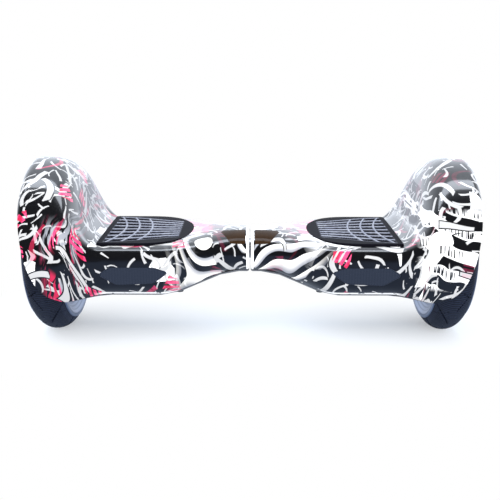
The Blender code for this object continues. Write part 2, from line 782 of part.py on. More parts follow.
def lamp(side):
    """Smoked lens cut from the shell's own skin, with pegs for its board."""
    turns = (-66, -78, -88, -98, -108, -118)
    patch = skin_patch("lens", LENS_INNER - 6 * MM, LENS_OUTER + 6 * MM, turns)
    lens = side.add("lamp_lens", patch, "smoked_lens")
    solidify(lens, SHELL_WALL)
    cut(lens, "lens_blank", lens_prism(0), side, operation="INTERSECT")
    middle = (LENS_LOW + LENS_HIGH) / 2
    inside = -BODY_HALF_DEPTH + SHELL_WALL
    near = inside + LENS_PEG_LENGTH + CLEARANCE
    half = LAMP_BOARD_HEIGHT / 2
    low = (mix(LENS_INNER, LENS_OUTER, 0.12), near, middle - half)
    high = (mix(LENS_INNER, LENS_OUTER, 0.88), near + BOARD_THICKNESS, middle + half)
    board = side.add("lamp_board", box_mesh("lamp_board", low, high), "circuit_board")
    pitch = (high[0] - low[0]) / LAMP_CHIPS
    for i in range(LAMP_CHIPS):
        chip_middle = (low[0] + (i + 0.5) * pitch, near - SINK, middle)
        chip = block_mesh("lamp_chip", chip_middle, (5 * MM, 2 * MM, 5 * MM))
        cut(board, f"lamp_chip_{i}", chip, side, operation="UNION")
    for i, x in enumerate((low[0] + pitch, high[0] - pitch)):
        start, end = (x, inside - 1 * MM, middle), (x, inside + LENS_PEG_LENGTH, middle)
        peg = rod_mesh("lens_peg", LENS_PEG_RADIUS, start, end, SCREW_SIDES)
        cut(lens, f"lens_peg_{i}", peg, side, operation="UNION")


def indicator(side):
    """Smoked window over the front slope of the neck."""
    turns = (8, -6, -20, -34, -46, -58, -72, -86)
    patch = skin_patch("window", HALF_GAP / 2 + END_ROLL, WINDOW_OUTER + 6 * MM, turns)
    window = side.add("indicator_window", patch, "smoked_lens")
    solidify(window, SHELL_WALL)
    cut(window, "window_blank", window_prism(0), side, operation="INTERSECT")


# ---------------------------------------------------------------- foot mats


def groove_cutter():
    """Bars that fan out along the mat's top, broken where the cross ribs pass."""
    top = MAT_TOP + 1 * MM
    bottom = MAT_TOP - MAT_GROOVE_DEPTH
    bm = bmesh.new()
    ring_start = MAT_OUTER - 8 * MM
    breaks = [ring_start - (k + 1) * MAT_RING_PITCH for k in range(MAT_RINGS)]
    edges = [ring_start, *breaks, MAT_INNER + 20 * MM]
    for j in range(MAT_GROOVES):
        share = (j + 0.5) / MAT_GROOVES * 2 - 1
        for far, near in zip(edges, edges[1:]):
            bend = 5 * MM * share**2
            ends = []
            for x, inset in ((near + bend, 0.5), (far + bend, -0.5)):
                x += inset * MAT_RING_WIDTH
                x = min(x, ring_start)
                spread = mix(0.5, 0.93, smooth(x, MAT_INNER - 20 * MM, MAT_OUTER))
                wide = mix(0.45, 1.0, smooth(x, MAT_INNER, MAT_OUTER - 40 * MM))
                ends.append((x, share * MAT_HALF_DEPTH * spread, MAT_GROOVE_WIDTH * wide))
            rows = []
            for x, y, width in ends:
                low, high = y - width / 2, y + width / 2
                corners = ((low, bottom), (high, bottom), (high, top), (low, top))
                rows.append([(x, *corner) for corner in corners])
            add_loft(bm, rows)
    return finish_mesh(bm, "mat_grooves", smooth=False)


def mat(side):
    """Ribbed rubber mat that a foot presses down, with legs to the platform."""
    middle = level(MAT_TOP - MAT_THICKNESS / 2)
    blank = plate_mesh("mat", mat_outline(), MAT_THICKNESS, middle)
    piece = side.add("foot_mat", blank, "rubber_mat")
    bottom = PLATFORM_TOP + CLEARANCE + MAT_TRAVEL
    for i, (x, y) in enumerate(mat_legs()):
        top = (x, y, MAT_UNDER + SINK)
        leg = rod_mesh("mat_leg", MAT_LEG_RADIUS, (x, y, bottom), top, SCREW_SIDES)
        cut(piece, f"mat_leg_{i}", leg, side, operation="UNION")
    cut(piece, "mat_grooves", groove_cutter(), side)


def mat_legs():
    return [
        (MAT_OUTER - 14 * MM, -MAT_HALF_DEPTH + 20 * MM),
        (MAT_OUTER - 14 * MM, MAT_HALF_DEPTH - 20 * MM),
        (MAT_INNER + 30 * MM, 0),
    ]


# ---------------------------------------------------------------- frame


def rail_outline(sign):
    """Plan of a rail: from the neck sleeve out to the platform's edge and on to the wheel."""
    inner, outer = RAIL_OFFSET - RAIL_THICKNESS / 2, RAIL_OFFSET + RAIL_THICKNESS / 2
    start = FLANGE_START + FLANGE_THICKNESS / 2
    bend = SLEEVE_LENGTH - RAIL_THICKNESS
    neck = SLEEVE_RADIUS - RAIL_THICKNESS
    points = [
        (start, neck),
        (bend, neck),
        (RAIL_BEND, inner),
        (CLAMP_OUTER, inner),
        (CLAMP_OUTER, outer),
        (RAIL_BEND, outer),
        (bend, neck + RAIL_THICKNESS),
        (start, neck + RAIL_THICKNESS),
    ]
    return [(x, sign * y) for x, y in points]


def platform_outline():
    half = RAIL_OFFSET + RAIL_THICKNESS / 2
    wide = MAT_HALF_DEPTH - PLATFORM_INSET
    shoulder = RAIL_BEND + 34 * MM
    return rounded(
        [
            (RAIL_BEND, -half, 8 * MM),
            (shoulder, -wide, 12 * MM),
            (PLATFORM_END, -wide, 5 * MM),
            (PLATFORM_END, wide, 5 * MM),
            (shoulder, wide, 12 * MM),
            (RAIL_BEND, half, 8 * MM),
        ],
        2,
    )


def oval(half_u, half_v, middle_v, steps=16):
    angles = [2 * math.pi * i / steps for i in range(steps)]
    return [(half_u * math.cos(a), middle_v + half_v * math.sin(a)) for a in angles]


def frame(side):
    """Cast frame: neck sleeve and flange, rails, foot platform and axle saddle."""
    middle = level(PLATFORM_TOP - PLATFORM_THICKNESS / 2)
    blank = plate_mesh("frame", platform_outline(), PLATFORM_THICKNESS, middle)
    piece = side.add("frame", blank, "cast_alloy")
    height = PLATFORM_TOP - 1 * MM - RAIL_BOTTOM
    for name, sign in (("front", -1), ("back", 1)):
        middle = level(RAIL_BOTTOM + height / 2)
        rail = plate_mesh("rail", rail_outline(sign), height, middle)
        cut(piece, f"rail_{name}", rail, side, operation="UNION")
    start, end = (FLANGE_START, 0, NECK_HEIGHT), (SLEEVE_LENGTH, 0, NECK_HEIGHT)
    sleeve = rod_mesh("sleeve", SLEEVE_RADIUS, start, end, TUBE_SIDES)
    cut(piece, "sleeve", sleeve, side, operation="UNION")
    inset = SHELL_WALL + END_ROLL
    shape = oval(NECK_HALF_DEPTH - inset, NECK_HALF_HEIGHT - inset, NECK_HEIGHT)
    middle = across(FLANGE_START + FLANGE_THICKNESS / 2)
    flange = plate_mesh("flange", shape, FLANGE_THICKNESS, middle)
    cut(piece, "flange", flange, side, operation="UNION")
    reach = RAIL_OFFSET + RAIL_THICKNESS / 4
    low = (CLAMP_INNER, -reach, CLAMP_BASE)
    high = (CLAMP_OUTER - SINK, reach, AXLE_HEIGHT - CLEARANCE / 2)
    cut(piece, "saddle", box_mesh("saddle", low, high), side, operation="UNION")
    start, end = (0, 0, NECK_HEIGHT), (SLEEVE_LENGTH + CUT_REACH / 2, 0, NECK_HEIGHT)
    cut(piece, "bore", rod_mesh("bore", BUSH_SEAT, start, end, TUBE_SIDES), side)
    cut(piece, "axle_groove", axle_groove(), side)
    for i, (x, y) in enumerate(clamp_screw_places()):
        start, end = (x, y, CLAMP_SCREW_END), (x, y, AXLE_HEIGHT + CLAMP_CAP_HEIGHT)
        hole = rod_mesh("clamp_hole", SCREW_RADIUS + CLEARANCE, start, end, SCREW_SIDES)
        cut(piece, f"clamp_hole_{i}", hole, side)
    for i, (x, y) in enumerate(boss_places()):
        start, end = (x, y, RAIL_BOTTOM - SINK), (x, y, RAIL_BOTTOM + SCREW_GRIP + SINK)
        hole = rod_mesh("rail_hole", SCREW_RADIUS + CLEARANCE, start, end, SCREW_SIDES)
        cut(piece, f"rail_hole_{i}", hole, side)
    for i, x in enumerate(PLATFORM_HOLES):
        start = (x, 0, PLATFORM_BOTTOM - PLATFORM_THICKNESS)
        end = (x, 0, PLATFORM_TOP + PLATFORM_THICKNESS)
        hole = rod_mesh("platform_hole", PLATFORM_HOLE_RADIUS, start, end, SCREW_SIDES)
        cut(piece, f"platform_hole_{i}", hole, side)


def axle_groove():
    start = (CLAMP_INNER - CLAMP_LENGTH / 4, 0, AXLE_HEIGHT)
    end = (CLAMP_OUTER + CLAMP_LENGTH / 4, 0, AXLE_HEIGHT)
    return rod_mesh("axle_groove", AXLE_RADIUS + CLEARANCE, start, end)


def clamp_screw_places():
    x = (CLAMP_INNER + CLAMP_OUTER) / 2
    return (x, -CLAMP_SCREW_OFFSET), (x, CLAMP_SCREW_OFFSET)


def axle_clamp(side):
    """Cap that holds the wheel's axle down on the frame's saddle."""
    top = AXLE_HEIGHT + CLAMP_CAP_HEIGHT
    low = (CLAMP_INNER, -CLAMP_HALF_DEPTH, AXLE_HEIGHT + CLEARANCE / 2)
    high = (CLAMP_OUTER - SINK, CLAMP_HALF_DEPTH, top)
    cap = side.add("axle_clamp", box_mesh("axle_clamp", low, high), "cast_alloy")
    cut(cap, "clamp_groove", axle_groove(), side)
    for i, (x, y) in enumerate(clamp_screw_places()):
        start, end = (x, y, AXLE_HEIGHT), (x, y, top + CLAMP_CAP_HEIGHT)
        hole = rod_mesh("cap_hole", SCREW_RADIUS + CLEARANCE, start, end, SCREW_SIDES)
        cut(cap, f"cap_hole_{i}", hole, side)
        screw = screw_mesh(top + CLEARANCE, CLAMP_SCREW_END + CLEARANCE)
        side.add(f"clamp_screw_{'ab'[i]}", screw, "steel", (x, y, 0))


def bulkhead(side):
    """Plate on the frame's end that closes the body beside the wheel."""
    start = CLAMP_OUTER + CLEARANCE
    centre = (BULGE_HEIGHT + FLOOR_TOP) / 2 + 20 * MM
    shape = []
    for turn in (0, 12, 24, 38, 52, 66, 80, 90, 104, 118, 132, 146, 160, 180):
        depth, height = body_point(BODY_START, turn)
        out = Vector((depth, height - centre))
        out *= 1 - BULKHEAD_INSET / out.length
        shape.append((out.x, out.y + centre))
    shape += [(-u, v) for u, v in reversed(shape[1:-1])]
    middle = across(start + BULKHEAD_THICKNESS / 2)
    plate = plate_mesh("bulkhead", shape, BULKHEAD_THICKNESS, middle)
    piece = side.add("wheel_bulkhead", plate, "black_plastic")
    reach = CUT_REACH / 4
    ends = (start - reach, 0, AXLE_HEIGHT), (start + reach, 0, AXLE_HEIGHT)
    hole = rod_mesh("bulkhead_hole", AXLE_RADIUS + BULKHEAD_AXLE_GAP, *ends)
    cut(piece, "bulkhead_hole", hole, side)


def sensor_board(side):
    """Tilt and foot sensor board on the platform, under the mat."""
    bottom = PLATFORM_TOP + CLEARANCE
    middle = (SENSOR_X, 0, bottom + BOARD_THICKNESS / 2)
    blank = block_mesh("sensor_board", middle, (*SENSOR_SIZE, BOARD_THICKNESS))
    board = side.add("sensor_board", blank, "circuit_board")
    chip_middle = bottom + BOARD_THICKNESS + SENSOR_CHIP_HEIGHT / 2 - SINK / 2
    for i, (y, length) in enumerate(SENSOR_CHIPS):
        size = (10 * MM, length, SENSOR_CHIP_HEIGHT + SINK)
        chip = block_mesh("sensor_chip", (SENSOR_X, y, chip_middle), size)
        cut(board, f"sensor_chip_{i}", chip, side, operation="UNION")


# ---------------------------------------------------------------- wheels


def web_faces():
    """Outer and inner face of the rim's disc, along the axle."""
    outer = -RIM_WIDTH / 2 + WEB_DEPTH
    return outer, outer + WEB_THICKNESS


def rim_profile():
    """Rim, its disc with the motor's drum, and the inner bearing's boss, in one casting."""
    half = RIM_WIDTH / 2
    face, back = web_faces()
    boss = BEARING_SEAT + BEARING_WALL
    boss_end = -STATOR_HALF - CLEARANCE
    return [
        (boss_end - BEARING_WIDTH - 2 * CLEARANCE, BEARING_SEAT),
        (boss_end, BEARING_SEAT),
        (boss_end, boss),
        (back, boss + 4 * MM),
        (back, DRUM_BORE),
        (DRUM_HALF_LENGTH, DRUM_BORE),
        (DRUM_HALF_LENGTH, DRUM_RADIUS),
        (back, DRUM_RADIUS),
        (back, BARREL_RADIUS),
        (half, BARREL_RADIUS),
        (half, RIM_FLANGE_RADIUS),
        (half - FLANGE_WIDTH, RIM_FLANGE_RADIUS),
        (half - FLANGE_WIDTH, RIM_SEAT_RADIUS),
        (FLANGE_WIDTH - half, RIM_SEAT_RADIUS),
        (FLANGE_WIDTH - half, RIM_FLANGE_RADIUS),
        (-half, RIM_FLANGE_RADIUS),
        (-half, RIM_FLANGE_RADIUS - 6 * MM),
        (face, BARREL_RADIUS - 6 * MM),
        (boss_end - BEARING_WIDTH - 2 * CLEARANCE, boss),
    ]


def rim(side):
    piece = side.add("rim", profile_mesh("rim", rim_profile()), "rim_alloy", WHEEL_CENTRE)
    turned(piece, WHEEL_SIDES)
    face, back = web_faces()
    radius = BARREL_RADIUS - VALVE_POCKET_INSET
    angle = math.radians(VALVE_POCKET_TURN)
    place = radius * math.cos(angle), radius * math.sin(angle)
    ends = (face - WEB_THICKNESS, *place), (back + WEB_THICKNESS, *place)
    pocket = rod_mesh("valve_pocket", VALVE_POCKET_RADIUS, *ends, SCREW_SIDES)
    cut(piece, "valve_pocket", pocket, side, WHEEL_CENTRE)


def tyre_profile():
    """Oval tread between the rim's flanges, down to the beads."""
    centre = TYRE_RADIUS - TREAD_BULGE
    limit = math.acos((RIM_FLANGE_RADIUS + CLEARANCE - centre) / TREAD_BULGE)
    crown = []
    for i in range(7):
        a = mix(limit, -limit, i / 6)
        crown.append((TREAD_HALF_WIDTH * math.sin(a), centre + TREAD_BULGE * math.cos(a)))
    bead = RIM_WIDTH / 2 - FLANGE_WIDTH - CLEARANCE
    low = RIM_SEAT_RADIUS + CLEARANCE
    top = RIM_FLANGE_RADIUS + CLEARANCE
    return [(bead, low), (bead, top), *crown, (-bead, top), (-bead, low)]


def tread_cutter():
    """Slanted bars that cut the tread's grooves, alternately from each shoulder."""
    bm = bmesh.new()
    centre = TYRE_RADIUS - TREAD_BULGE
    for i in range(TREAD_GROOVES):
        for sign in (-1, 1):
            turn = math.tau * (i + 0.5 - 0.25 * sign) / TREAD_GROOVES
            rows = []
            for share in (0.0, 0.5, 1.0):
                along = mix(GROOVE_START, GROOVE_END, share)
                bulge = math.sqrt(1 - (along / TREAD_HALF_WIDTH) ** 2)
                surface = centre + TREAD_BULGE * bulge
                angle = turn + GROOVE_LEAN * share**GROOVE_SWEEP
                outward = Vector((0, math.sin(angle), math.cos(angle)))
                aside = Vector((0, math.cos(angle), -math.sin(angle))) * GROOVE_WIDTH / 2
                low = outward * (surface - GROOVE_DEPTH) + Vector((sign * along, 0, 0))
                high = outward * (surface + 3 * GROOVE_DEPTH) + Vector((sign * along, 0, 0))
                rows.append([low - aside, low + aside, high + aside, high - aside])
            add_loft(bm, rows)
    return finish_mesh(bm, "tread_cutter", smooth=False)


def tyre(side):
    mesh = profile_mesh("tyre", tyre_profile())
    piece = side.add("tyre", mesh, "tyre_rubber", WHEEL_CENTRE)
    turned(piece, WHEEL_SIDES)
    cut(piece, "tread_grooves", tread_cutter(), side, WHEEL_CENTRE)


def ring(side, name, slot, inner, outer, start, end, sides=WHEEL_SIDES):
    mesh = profile_mesh(name, ring_profile(inner, outer, start, end))
    piece = side.add(name, mesh, slot, WHEEL_CENTRE)
    return turned(piece, sides)


def bearings(side):
    gap = STATOR_HALF + 2 * CLEARANCE
    inner, outer = AXLE_RADIUS + CLEARANCE, BEARING_RADIUS
    end = gap + BEARING_WIDTH - CLEARANCE
    ring(side, "bearing_outer", "steel", inner, outer, gap, end, ROD_SIDES)
    ring(side, "bearing_inner", "steel", inner, outer, -end, -gap, ROD_SIDES)


def stator_outline():
    """Toothed core: each tooth's tip is wider than the slot beside it."""
    points = []
    slot_floor = 0.62 * STATOR_RADIUS
    for i in range(STATOR_TEETH):
        for share, radius in ((0.08, 1), (0.72, 1), (0.78, 0), (0.98, 0)):
            angle = 2 * math.pi * (i + share) / STATOR_TEETH
            reach = mix(slot_floor, STATOR_RADIUS, radius)
            points.append((reach * math.cos(angle), reach * math.sin(angle)))
    return points


def motor(side):
    """The parts of the hub motor that stay still: axle and stator."""
    end = AXLE_OUTER
    profile = [
        (end - AXLE_REACH, AXLE_RADIUS - 1 * MM),
        (end - AXLE_REACH + 1 * MM, AXLE_RADIUS),
        (end - 1 * MM, AXLE_RADIUS),
        (end, AXLE_RADIUS - 1 * MM),
    ]
    mesh = lathe_mesh("axle", profile, ROD_SIDES)
    side.add("axle", mesh, "steel", WHEEL_CENTRE)
    core = plate_mesh("stator", stator_outline(), STATOR_THICKNESS, across(0))
    stator = side.add("motor_stator", core, "copper", WHEEL_CENTRE)
    ends = (-STATOR_THICKNESS, 0, 0), (STATOR_THICKNESS, 0, 0)
    hole = rod_mesh("stator_bore", AXLE_RADIUS + CLEARANCE, *ends)
    cut(stator, "stator_bore", hole, side, WHEEL_CENTRE)
    inner = STATOR_RADIUS + AIR_GAP
    ring(side, "magnet_ring", "steel", inner, MAGNET_RADIUS, -STATOR_HALF, STATOR_HALF)


def motor_cover(side):
    """Plate that closes the drum and holds the outer bearing."""
    face = DRUM_HALF_LENGTH + CLEARANCE
    boss = BEARING_SEAT + BEARING_WALL
    start = STATOR_HALF + CLEARANCE
    end = start + BEARING_WIDTH + 2 * CLEARANCE
    profile = [
        (start, BEARING_SEAT),
        (end, BEARING_SEAT),
        (end, boss),
        (face + COVER_THICKNESS, boss + 3 * MM),
        (face + COVER_THICKNESS, DRUM_RADIUS - 2 * MM),
        (face + COVER_THICKNESS - 2 * MM, DRUM_RADIUS),
        (face, DRUM_RADIUS),
        (face, boss),
        (start, boss),
    ]
    mesh = profile_mesh("motor_cover", profile)
    piece = side.add("motor_cover", mesh, "rim_alloy", WHEEL_CENTRE)
    turned(piece, TUBE_SIDES)


def hub_cap(side):
    """Five-spoke cap that presses into the rim's mouth."""
    edge = RIM_WIDTH / 2
    crown = edge + HUB_CAP_CROWN
    slope = crown - 1.5 * MM
    dish = edge - 1.5 * MM
    inner = 0.75 * HUB_CAP_RADIUS
    profile = [
        (crown - HUB_CAP_WALL, HUB_CAP_BOSS),
        (slope - HUB_CAP_WALL, 1.5 * HUB_CAP_BOSS),
        (dish - HUB_CAP_WALL - SINK, inner),
        (edge - 2 * MM, HUB_CAP_RADIUS),
        (edge, HUB_CAP_RADIUS - 4 * MM),
        (dish, inner),
        (slope, 1.5 * HUB_CAP_BOSS),
        (crown, HUB_CAP_BOSS),
    ]
    mesh = lathe_mesh("hub_cap", profile, WHEEL_SIDES)
    piece = side.add("hub_cap", mesh, "rim_alloy", WHEEL_CENTRE)
    for i in range(HUB_CAP_SPOKES):
        turn = Matrix.Rotation(math.tau * i / HUB_CAP_SPOKES, 4, "X") @ across(edge)
        gap = plate_mesh("spoke_gap", spoke_gap_outline(), CUT_REACH, turn)
        cut(piece, f"spoke_gap_{i}", gap, side, WHEEL_CENTRE)


def spoke_gap_outline():
    """The gap between two spokes, wide at the rim and narrow by the middle."""
    near, far = 0.42 * HUB_CAP_RADIUS, 0.86 * HUB_CAP_RADIUS
    half_angle = math.pi / HUB_CAP_SPOKES
    narrow, wide = math.sin(0.5 * half_angle) * near, math.sin(0.66 * half_angle) * far
    return rounded(
        [
            (-narrow, near, 4 * MM),
            (narrow, near, 4 * MM),
            (wide, 0.93 * far, 7 * MM),
            (0, far, 30 * MM),
            (-wide, 0.93 * far, 7 * MM),
        ],
        2,
    )


# ---------------------------------------------------------------- pieces on one side only


def tube_ring(side, name, slot, inner, outer, start, end):
    """A ring round the pivot's axis."""
    mesh = profile_mesh(name, ring_profile(inner, outer, start, end))
    piece = side.add(name, mesh, slot, (0, 0, NECK_HEIGHT), shared=False)
    return turned(piece, TUBE_SIDES)


def pivot(left, right):
    """Tube that carries both halves: clamped in the left frame, and turning in two
    bushes in the right one."""
    bore = PIVOT_RADIUS - PIVOT_WALL
    half = PIVOT_HALF_LENGTH
    tube_ring(right, "pivot_tube", "steel", bore, PIVOT_RADIUS, -half, half)
    inner = PIVOT_RADIUS + CLEARANCE
    outer = inner + BUSH_WALL
    tube_ring(left, "pivot_liner", "cast_alloy", inner, outer, FLANGE_START, SLEEVE_LENGTH)
    ends = (
        ("pivot_bush_near", FLANGE_START, FLANGE_START + BUSH_LENGTH),
        ("pivot_bush_far", SLEEVE_LENGTH - BUSH_LENGTH, SLEEVE_LENGTH),
    )
    for name, start, end in ends:
        tube_ring(right, name, "bronze", inner, outer, start, end)
    start = SLEEVE_LENGTH + CLEARANCE
    end = start + RETAINING_RING_WIDTH
    tube_ring(right, "retaining_ring", "steel", inner, BUSH_SEAT + 3 * MM, start, end)


def stop_pin(left, right):
    """Pin in the left flange that runs in a slot of the right one and ends the twist."""
    reach = FLANGE_START + FLANGE_THICKNESS
    place = (STOP_PIN_OFFSET, NECK_HEIGHT)
    ends = (-reach, *place), (reach, *place)
    pin = rod_mesh("stop_pin", STOP_PIN_RADIUS, *ends)
    right.add("stop_pin", pin, "steel", shared=False)
    hole = rod_mesh("pin_hole", STOP_PIN_RADIUS + CLEARANCE, *ends)
    cut(left.parts["frame"], "pin_hole", hole, left)
    swing = STOP_PIN_OFFSET * math.sin(math.radians(TWIST_LIMIT))
    half = swing + STOP_PIN_RADIUS + 2 * CLEARANCE
    width = STOP_PIN_RADIUS + 4 * CLEARANCE
    low = (0, STOP_PIN_OFFSET - width, NECK_HEIGHT - half)
    high = (2 * reach, STOP_PIN_OFFSET + width, NECK_HEIGHT + half)
    cut(right.parts["frame"], "stop_slot", box_mesh("stop_slot", low, high), right)


def battery(left):
    """Pack of cells strapped up under the left platform."""
    low = (BATTERY_INNER, -BATTERY_DEPTH / 2, FLOOR_TOP + BATTERY_FLOOR_GAP)
    end = CLAMP_INNER - BATTERY_CLAMP_GAP
    high = (end, BATTERY_DEPTH / 2, PLATFORM_BOTTOM - CLEARANCE)
    mesh = box_mesh("battery", low, high)
    pack = left.add("battery_pack", mesh, "battery_wrap", shared=False)
    bevel = pack.modifiers.new("edges", "BEVEL")
    bevel.width = BATTERY_ROUNDING
    bevel.segments = 2


def main_board(right):
    """Control board under the platform: posts, capacitors and connectors."""
    top = PLATFORM_BOTTOM - CLEARANCE
    face = top - BOARD_DROP
    under = face - BOARD_THICKNESS
    length, depth = MAIN_BOARD_SIZE
    low = (MAIN_BOARD_INNER, -depth / 2, under)
    high = (MAIN_BOARD_INNER + length, depth / 2, face)
    mesh = box_mesh("main_board", low, high)
    board = right.add("main_board", mesh, "circuit_board", shared=False)
    for i, (x, y) in enumerate(((0.06, 0.1), (0.06, 0.9), (0.94, 0.1), (0.94, 0.9))):
        place = (mix(low[0], high[0], x), mix(low[1], high[1], y))
        ends = (*place, under + SINK), (*place, top)
        post = rod_mesh("board_post", BOARD_POST_RADIUS, *ends, SCREW_SIDES)
        cut(board, f"board_post_{i}", post, right, operation="UNION")
    for i, x in enumerate((0.25, 0.45)):
        place = (mix(low[0], high[0], x), 0)
        ends = (*place, under + SINK), (*place, under - CAPACITOR_LENGTH)
        can = rod_mesh("capacitor", CAPACITOR_RADIUS, *ends)
        cut(board, f"capacitor_{i}", can, right, operation="UNION")
    inset = 0.09 * depth
    near = (mix(low[0], high[0], 0.66), low[1] + inset, under - PLUG_HEIGHT)
    far = (mix(low[0], high[0], 0.8), high[1] - inset, under + SINK)
    plugs = box_mesh("board_plugs", near, far)
    cut(board, "board_plugs", plugs, right, operation="UNION")


def skin_hole(right, name, x, radius):
    """A round hole through the back of the right shell."""
    start, end = BODY_HALF_DEPTH - CUT_REACH / 4, BODY_HALF_DEPTH + CUT_REACH / 4
    ends = (x, start, BUTTON_HEIGHT), (x, end, BUTTON_HEIGHT)
    hole = rod_mesh(name, radius + CLEARANCE, *ends)
    cut(right.parts["upper_shell"], name, hole, right)


def power_button(right):
    """Round button in the back of the shell, with a flange that keeps it in."""
    face = BODY_HALF_DEPTH + BUTTON_PROUD
    edge = BUTTON_PROUD / 2
    profile = [
        (COLLAR_FACE - BUTTON_LENGTH, BUTTON_RADIUS),
        (COLLAR_FACE - COLLAR_THICKNESS, BUTTON_RADIUS),
        (COLLAR_FACE - COLLAR_THICKNESS, BUTTON_RADIUS + COLLAR_WIDTH),
        (COLLAR_FACE, BUTTON_RADIUS + COLLAR_WIDTH),
        (COLLAR_FACE, BUTTON_RADIUS),
        (face - edge, BUTTON_RADIUS),
        (face, BUTTON_RADIUS - edge),
    ]
    mesh = lathe_mesh("power_button", profile, ROD_SIDES, "Y")
    place = (BUTTON_X, 0, BUTTON_HEIGHT)
    right.add("power_button", mesh, "black_plastic", place, shared=False)
    skin_hole(right, "button_hole", BUTTON_X, BUTTON_RADIUS)


def charge_socket(right):
    """Round charging socket in the back of the shell, and its hinged rubber cap."""
    back = BODY_HALF_DEPTH - SOCKET_DEPTH
    face = BODY_HALF_DEPTH - SINK
    profile = [
        (back, SOCKET_MIDDLE),
        (back, SOCKET_RADIUS),
        (COLLAR_FACE - COLLAR_THICKNESS, SOCKET_RADIUS),
        (COLLAR_FACE - COLLAR_THICKNESS, SOCKET_RADIUS + COLLAR_WIDTH),
        (COLLAR_FACE, SOCKET_RADIUS + COLLAR_WIDTH),
        (COLLAR_FACE, SOCKET_RADIUS),
        (face, SOCKET_RADIUS),
        (face, SOCKET_BORE),
        (back + SOCKET_FLOOR, SOCKET_BORE),
        (back + SOCKET_FLOOR, SOCKET_MIDDLE),
    ]
    mesh = lathe_mesh("charge_socket", profile, ROD_SIDES, "Y")
    place = (SOCKET_X, 0, BUTTON_HEIGHT)
    right.add("charge_socket", mesh, "black_plastic", place, shared=False)
    skin_hole(right, "socket_hole", SOCKET_X, SOCKET_RADIUS)
    plate = plate_mesh("charge_cap", cap_outline(), CAP_THICKNESS, upright(CAP_THICKNESS / 2))
    hinge = (SOCKET_X, BODY_HALF_DEPTH + CLEARANCE, BUTTON_HEIGHT + CAP_RADIUS)
    right.add("charge_cap", plate, "rubber_mat", hinge, shared=False)


def cap_outline():
    """A disc hung from its top, which is squared off at the hinge."""
    hinge = 0.55 * CAP_RADIUS
    below = arc((0, -CAP_RADIUS), CAP_RADIUS, 180, 360, 12)
    return [(hinge, 0), (-hinge, 0), *below]


# ---------------------------------------------------------------- the board


class Side:
    """One half of the board. Its pieces hang on an empty, which mirrors the left ones."""

    def __init__(self, name, mirrored):
        self.name = name
        self.parts = {}
        self.empty = bpy.data.objects.new(f"{name}_half", None)
        PARTS.objects.link(self.empty)
        if mirrored:
            self.empty.scale = (-1, 1, 1)

    def add(self, name, mesh, slot, origin=(0, 0, 0), shared=True):
        full = f"{name}_{self.name}" if shared else name
        piece = add_object(full, mesh, slot, self.empty, origin)
        self.parts[name] = piece
        return piece


HALF = (
    upper_shell,
    lower_shell,
    shell_screws,
    lamp,
    indicator,
    mat,
    frame,
    axle_clamp,
    bulkhead,
    sensor_board,
    rim,
    tyre,
    bearings,
    motor,
    motor_cover,
    hub_cap,
)


def build():
    left, right = Side("left", True), Side("right", False)
    bpy.context.view_layer.update()
    for side in (left, right):
        for make in HALF:
            make(side)
    pivot(left, right)
    stop_pin(left, right)
    battery(left)
    main_board(right)
    power_button(right)
    charge_socket(right)


clear_scene()
PARTS = collection("hoverboard")
HELPERS = collection("cutters")
MATERIALS = make_materials()
build()
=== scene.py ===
"""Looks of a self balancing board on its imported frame, in metres.

Sizes come first, then materials, mesh helpers, one function for each kind of piece, and
the setting. Every piece of a half is built for the +X side and mirrored for the other one.
The shells, mats and wheels take the sizes of the solids that they stand for, with finer
curves. The shells' print is laid down in layers of noise and random cells.
"""

import json
from math import acos, copysign, cos, exp, floor, pi, radians, sin, sqrt, tan, tau

import bmesh
import bpy
from mathutils import Matrix, Vector

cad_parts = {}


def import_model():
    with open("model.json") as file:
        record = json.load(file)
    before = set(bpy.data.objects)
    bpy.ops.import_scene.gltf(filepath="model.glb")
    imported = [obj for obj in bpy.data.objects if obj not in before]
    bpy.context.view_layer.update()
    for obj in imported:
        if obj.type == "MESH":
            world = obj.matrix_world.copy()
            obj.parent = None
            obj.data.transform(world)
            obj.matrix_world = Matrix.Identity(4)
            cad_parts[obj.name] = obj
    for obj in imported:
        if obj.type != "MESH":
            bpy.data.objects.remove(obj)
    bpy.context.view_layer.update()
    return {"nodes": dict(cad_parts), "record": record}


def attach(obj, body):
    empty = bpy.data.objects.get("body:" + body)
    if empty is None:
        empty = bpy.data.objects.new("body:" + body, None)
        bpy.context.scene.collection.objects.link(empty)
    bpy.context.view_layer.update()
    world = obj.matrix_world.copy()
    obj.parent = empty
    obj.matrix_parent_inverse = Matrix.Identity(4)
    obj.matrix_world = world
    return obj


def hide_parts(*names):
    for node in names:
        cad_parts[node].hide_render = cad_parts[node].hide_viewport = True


MM = 0.001
SIDES = {"left": -1, "right": 1}

# ---- camera ----
VIEW_DISTANCE = 1.150
VIEW_TILT = 15.15  # degrees down
VIEW_HEIGHT = 0.1186  # height of the point that it looks at
VIEW_SENSOR = 36  # mm, as for the lens
VIEW_LENS = 54.15
VIEW_ROLL = 0.2
VIEW_FAR = 50

# ---- light and floor ----
LAMP_TARGET = (0, 0, 0.1)
LAMPS = {  # name: (place, size, watts)
    "key": ((-1.2, -0.9, 2.2), (1.4, 1.4), 26),
    "fill": ((0.5, -2.0, 0.7), (2.0, 1.2), 34),
    "back": ((0, 1.8, 1.7), (2.2, 0.8), 16),
}
SKY_LIGHT = 1.5  # what the world casts on things
ROOM_GLOW = 0.06  # what reflections see of it: the room in front,
BACKDROP_GLOW = 1.9  # the backdrop behind,
STRIP_GLOW = 9.0  # and a strip light overhead
FLOOR_RADIUS = 12

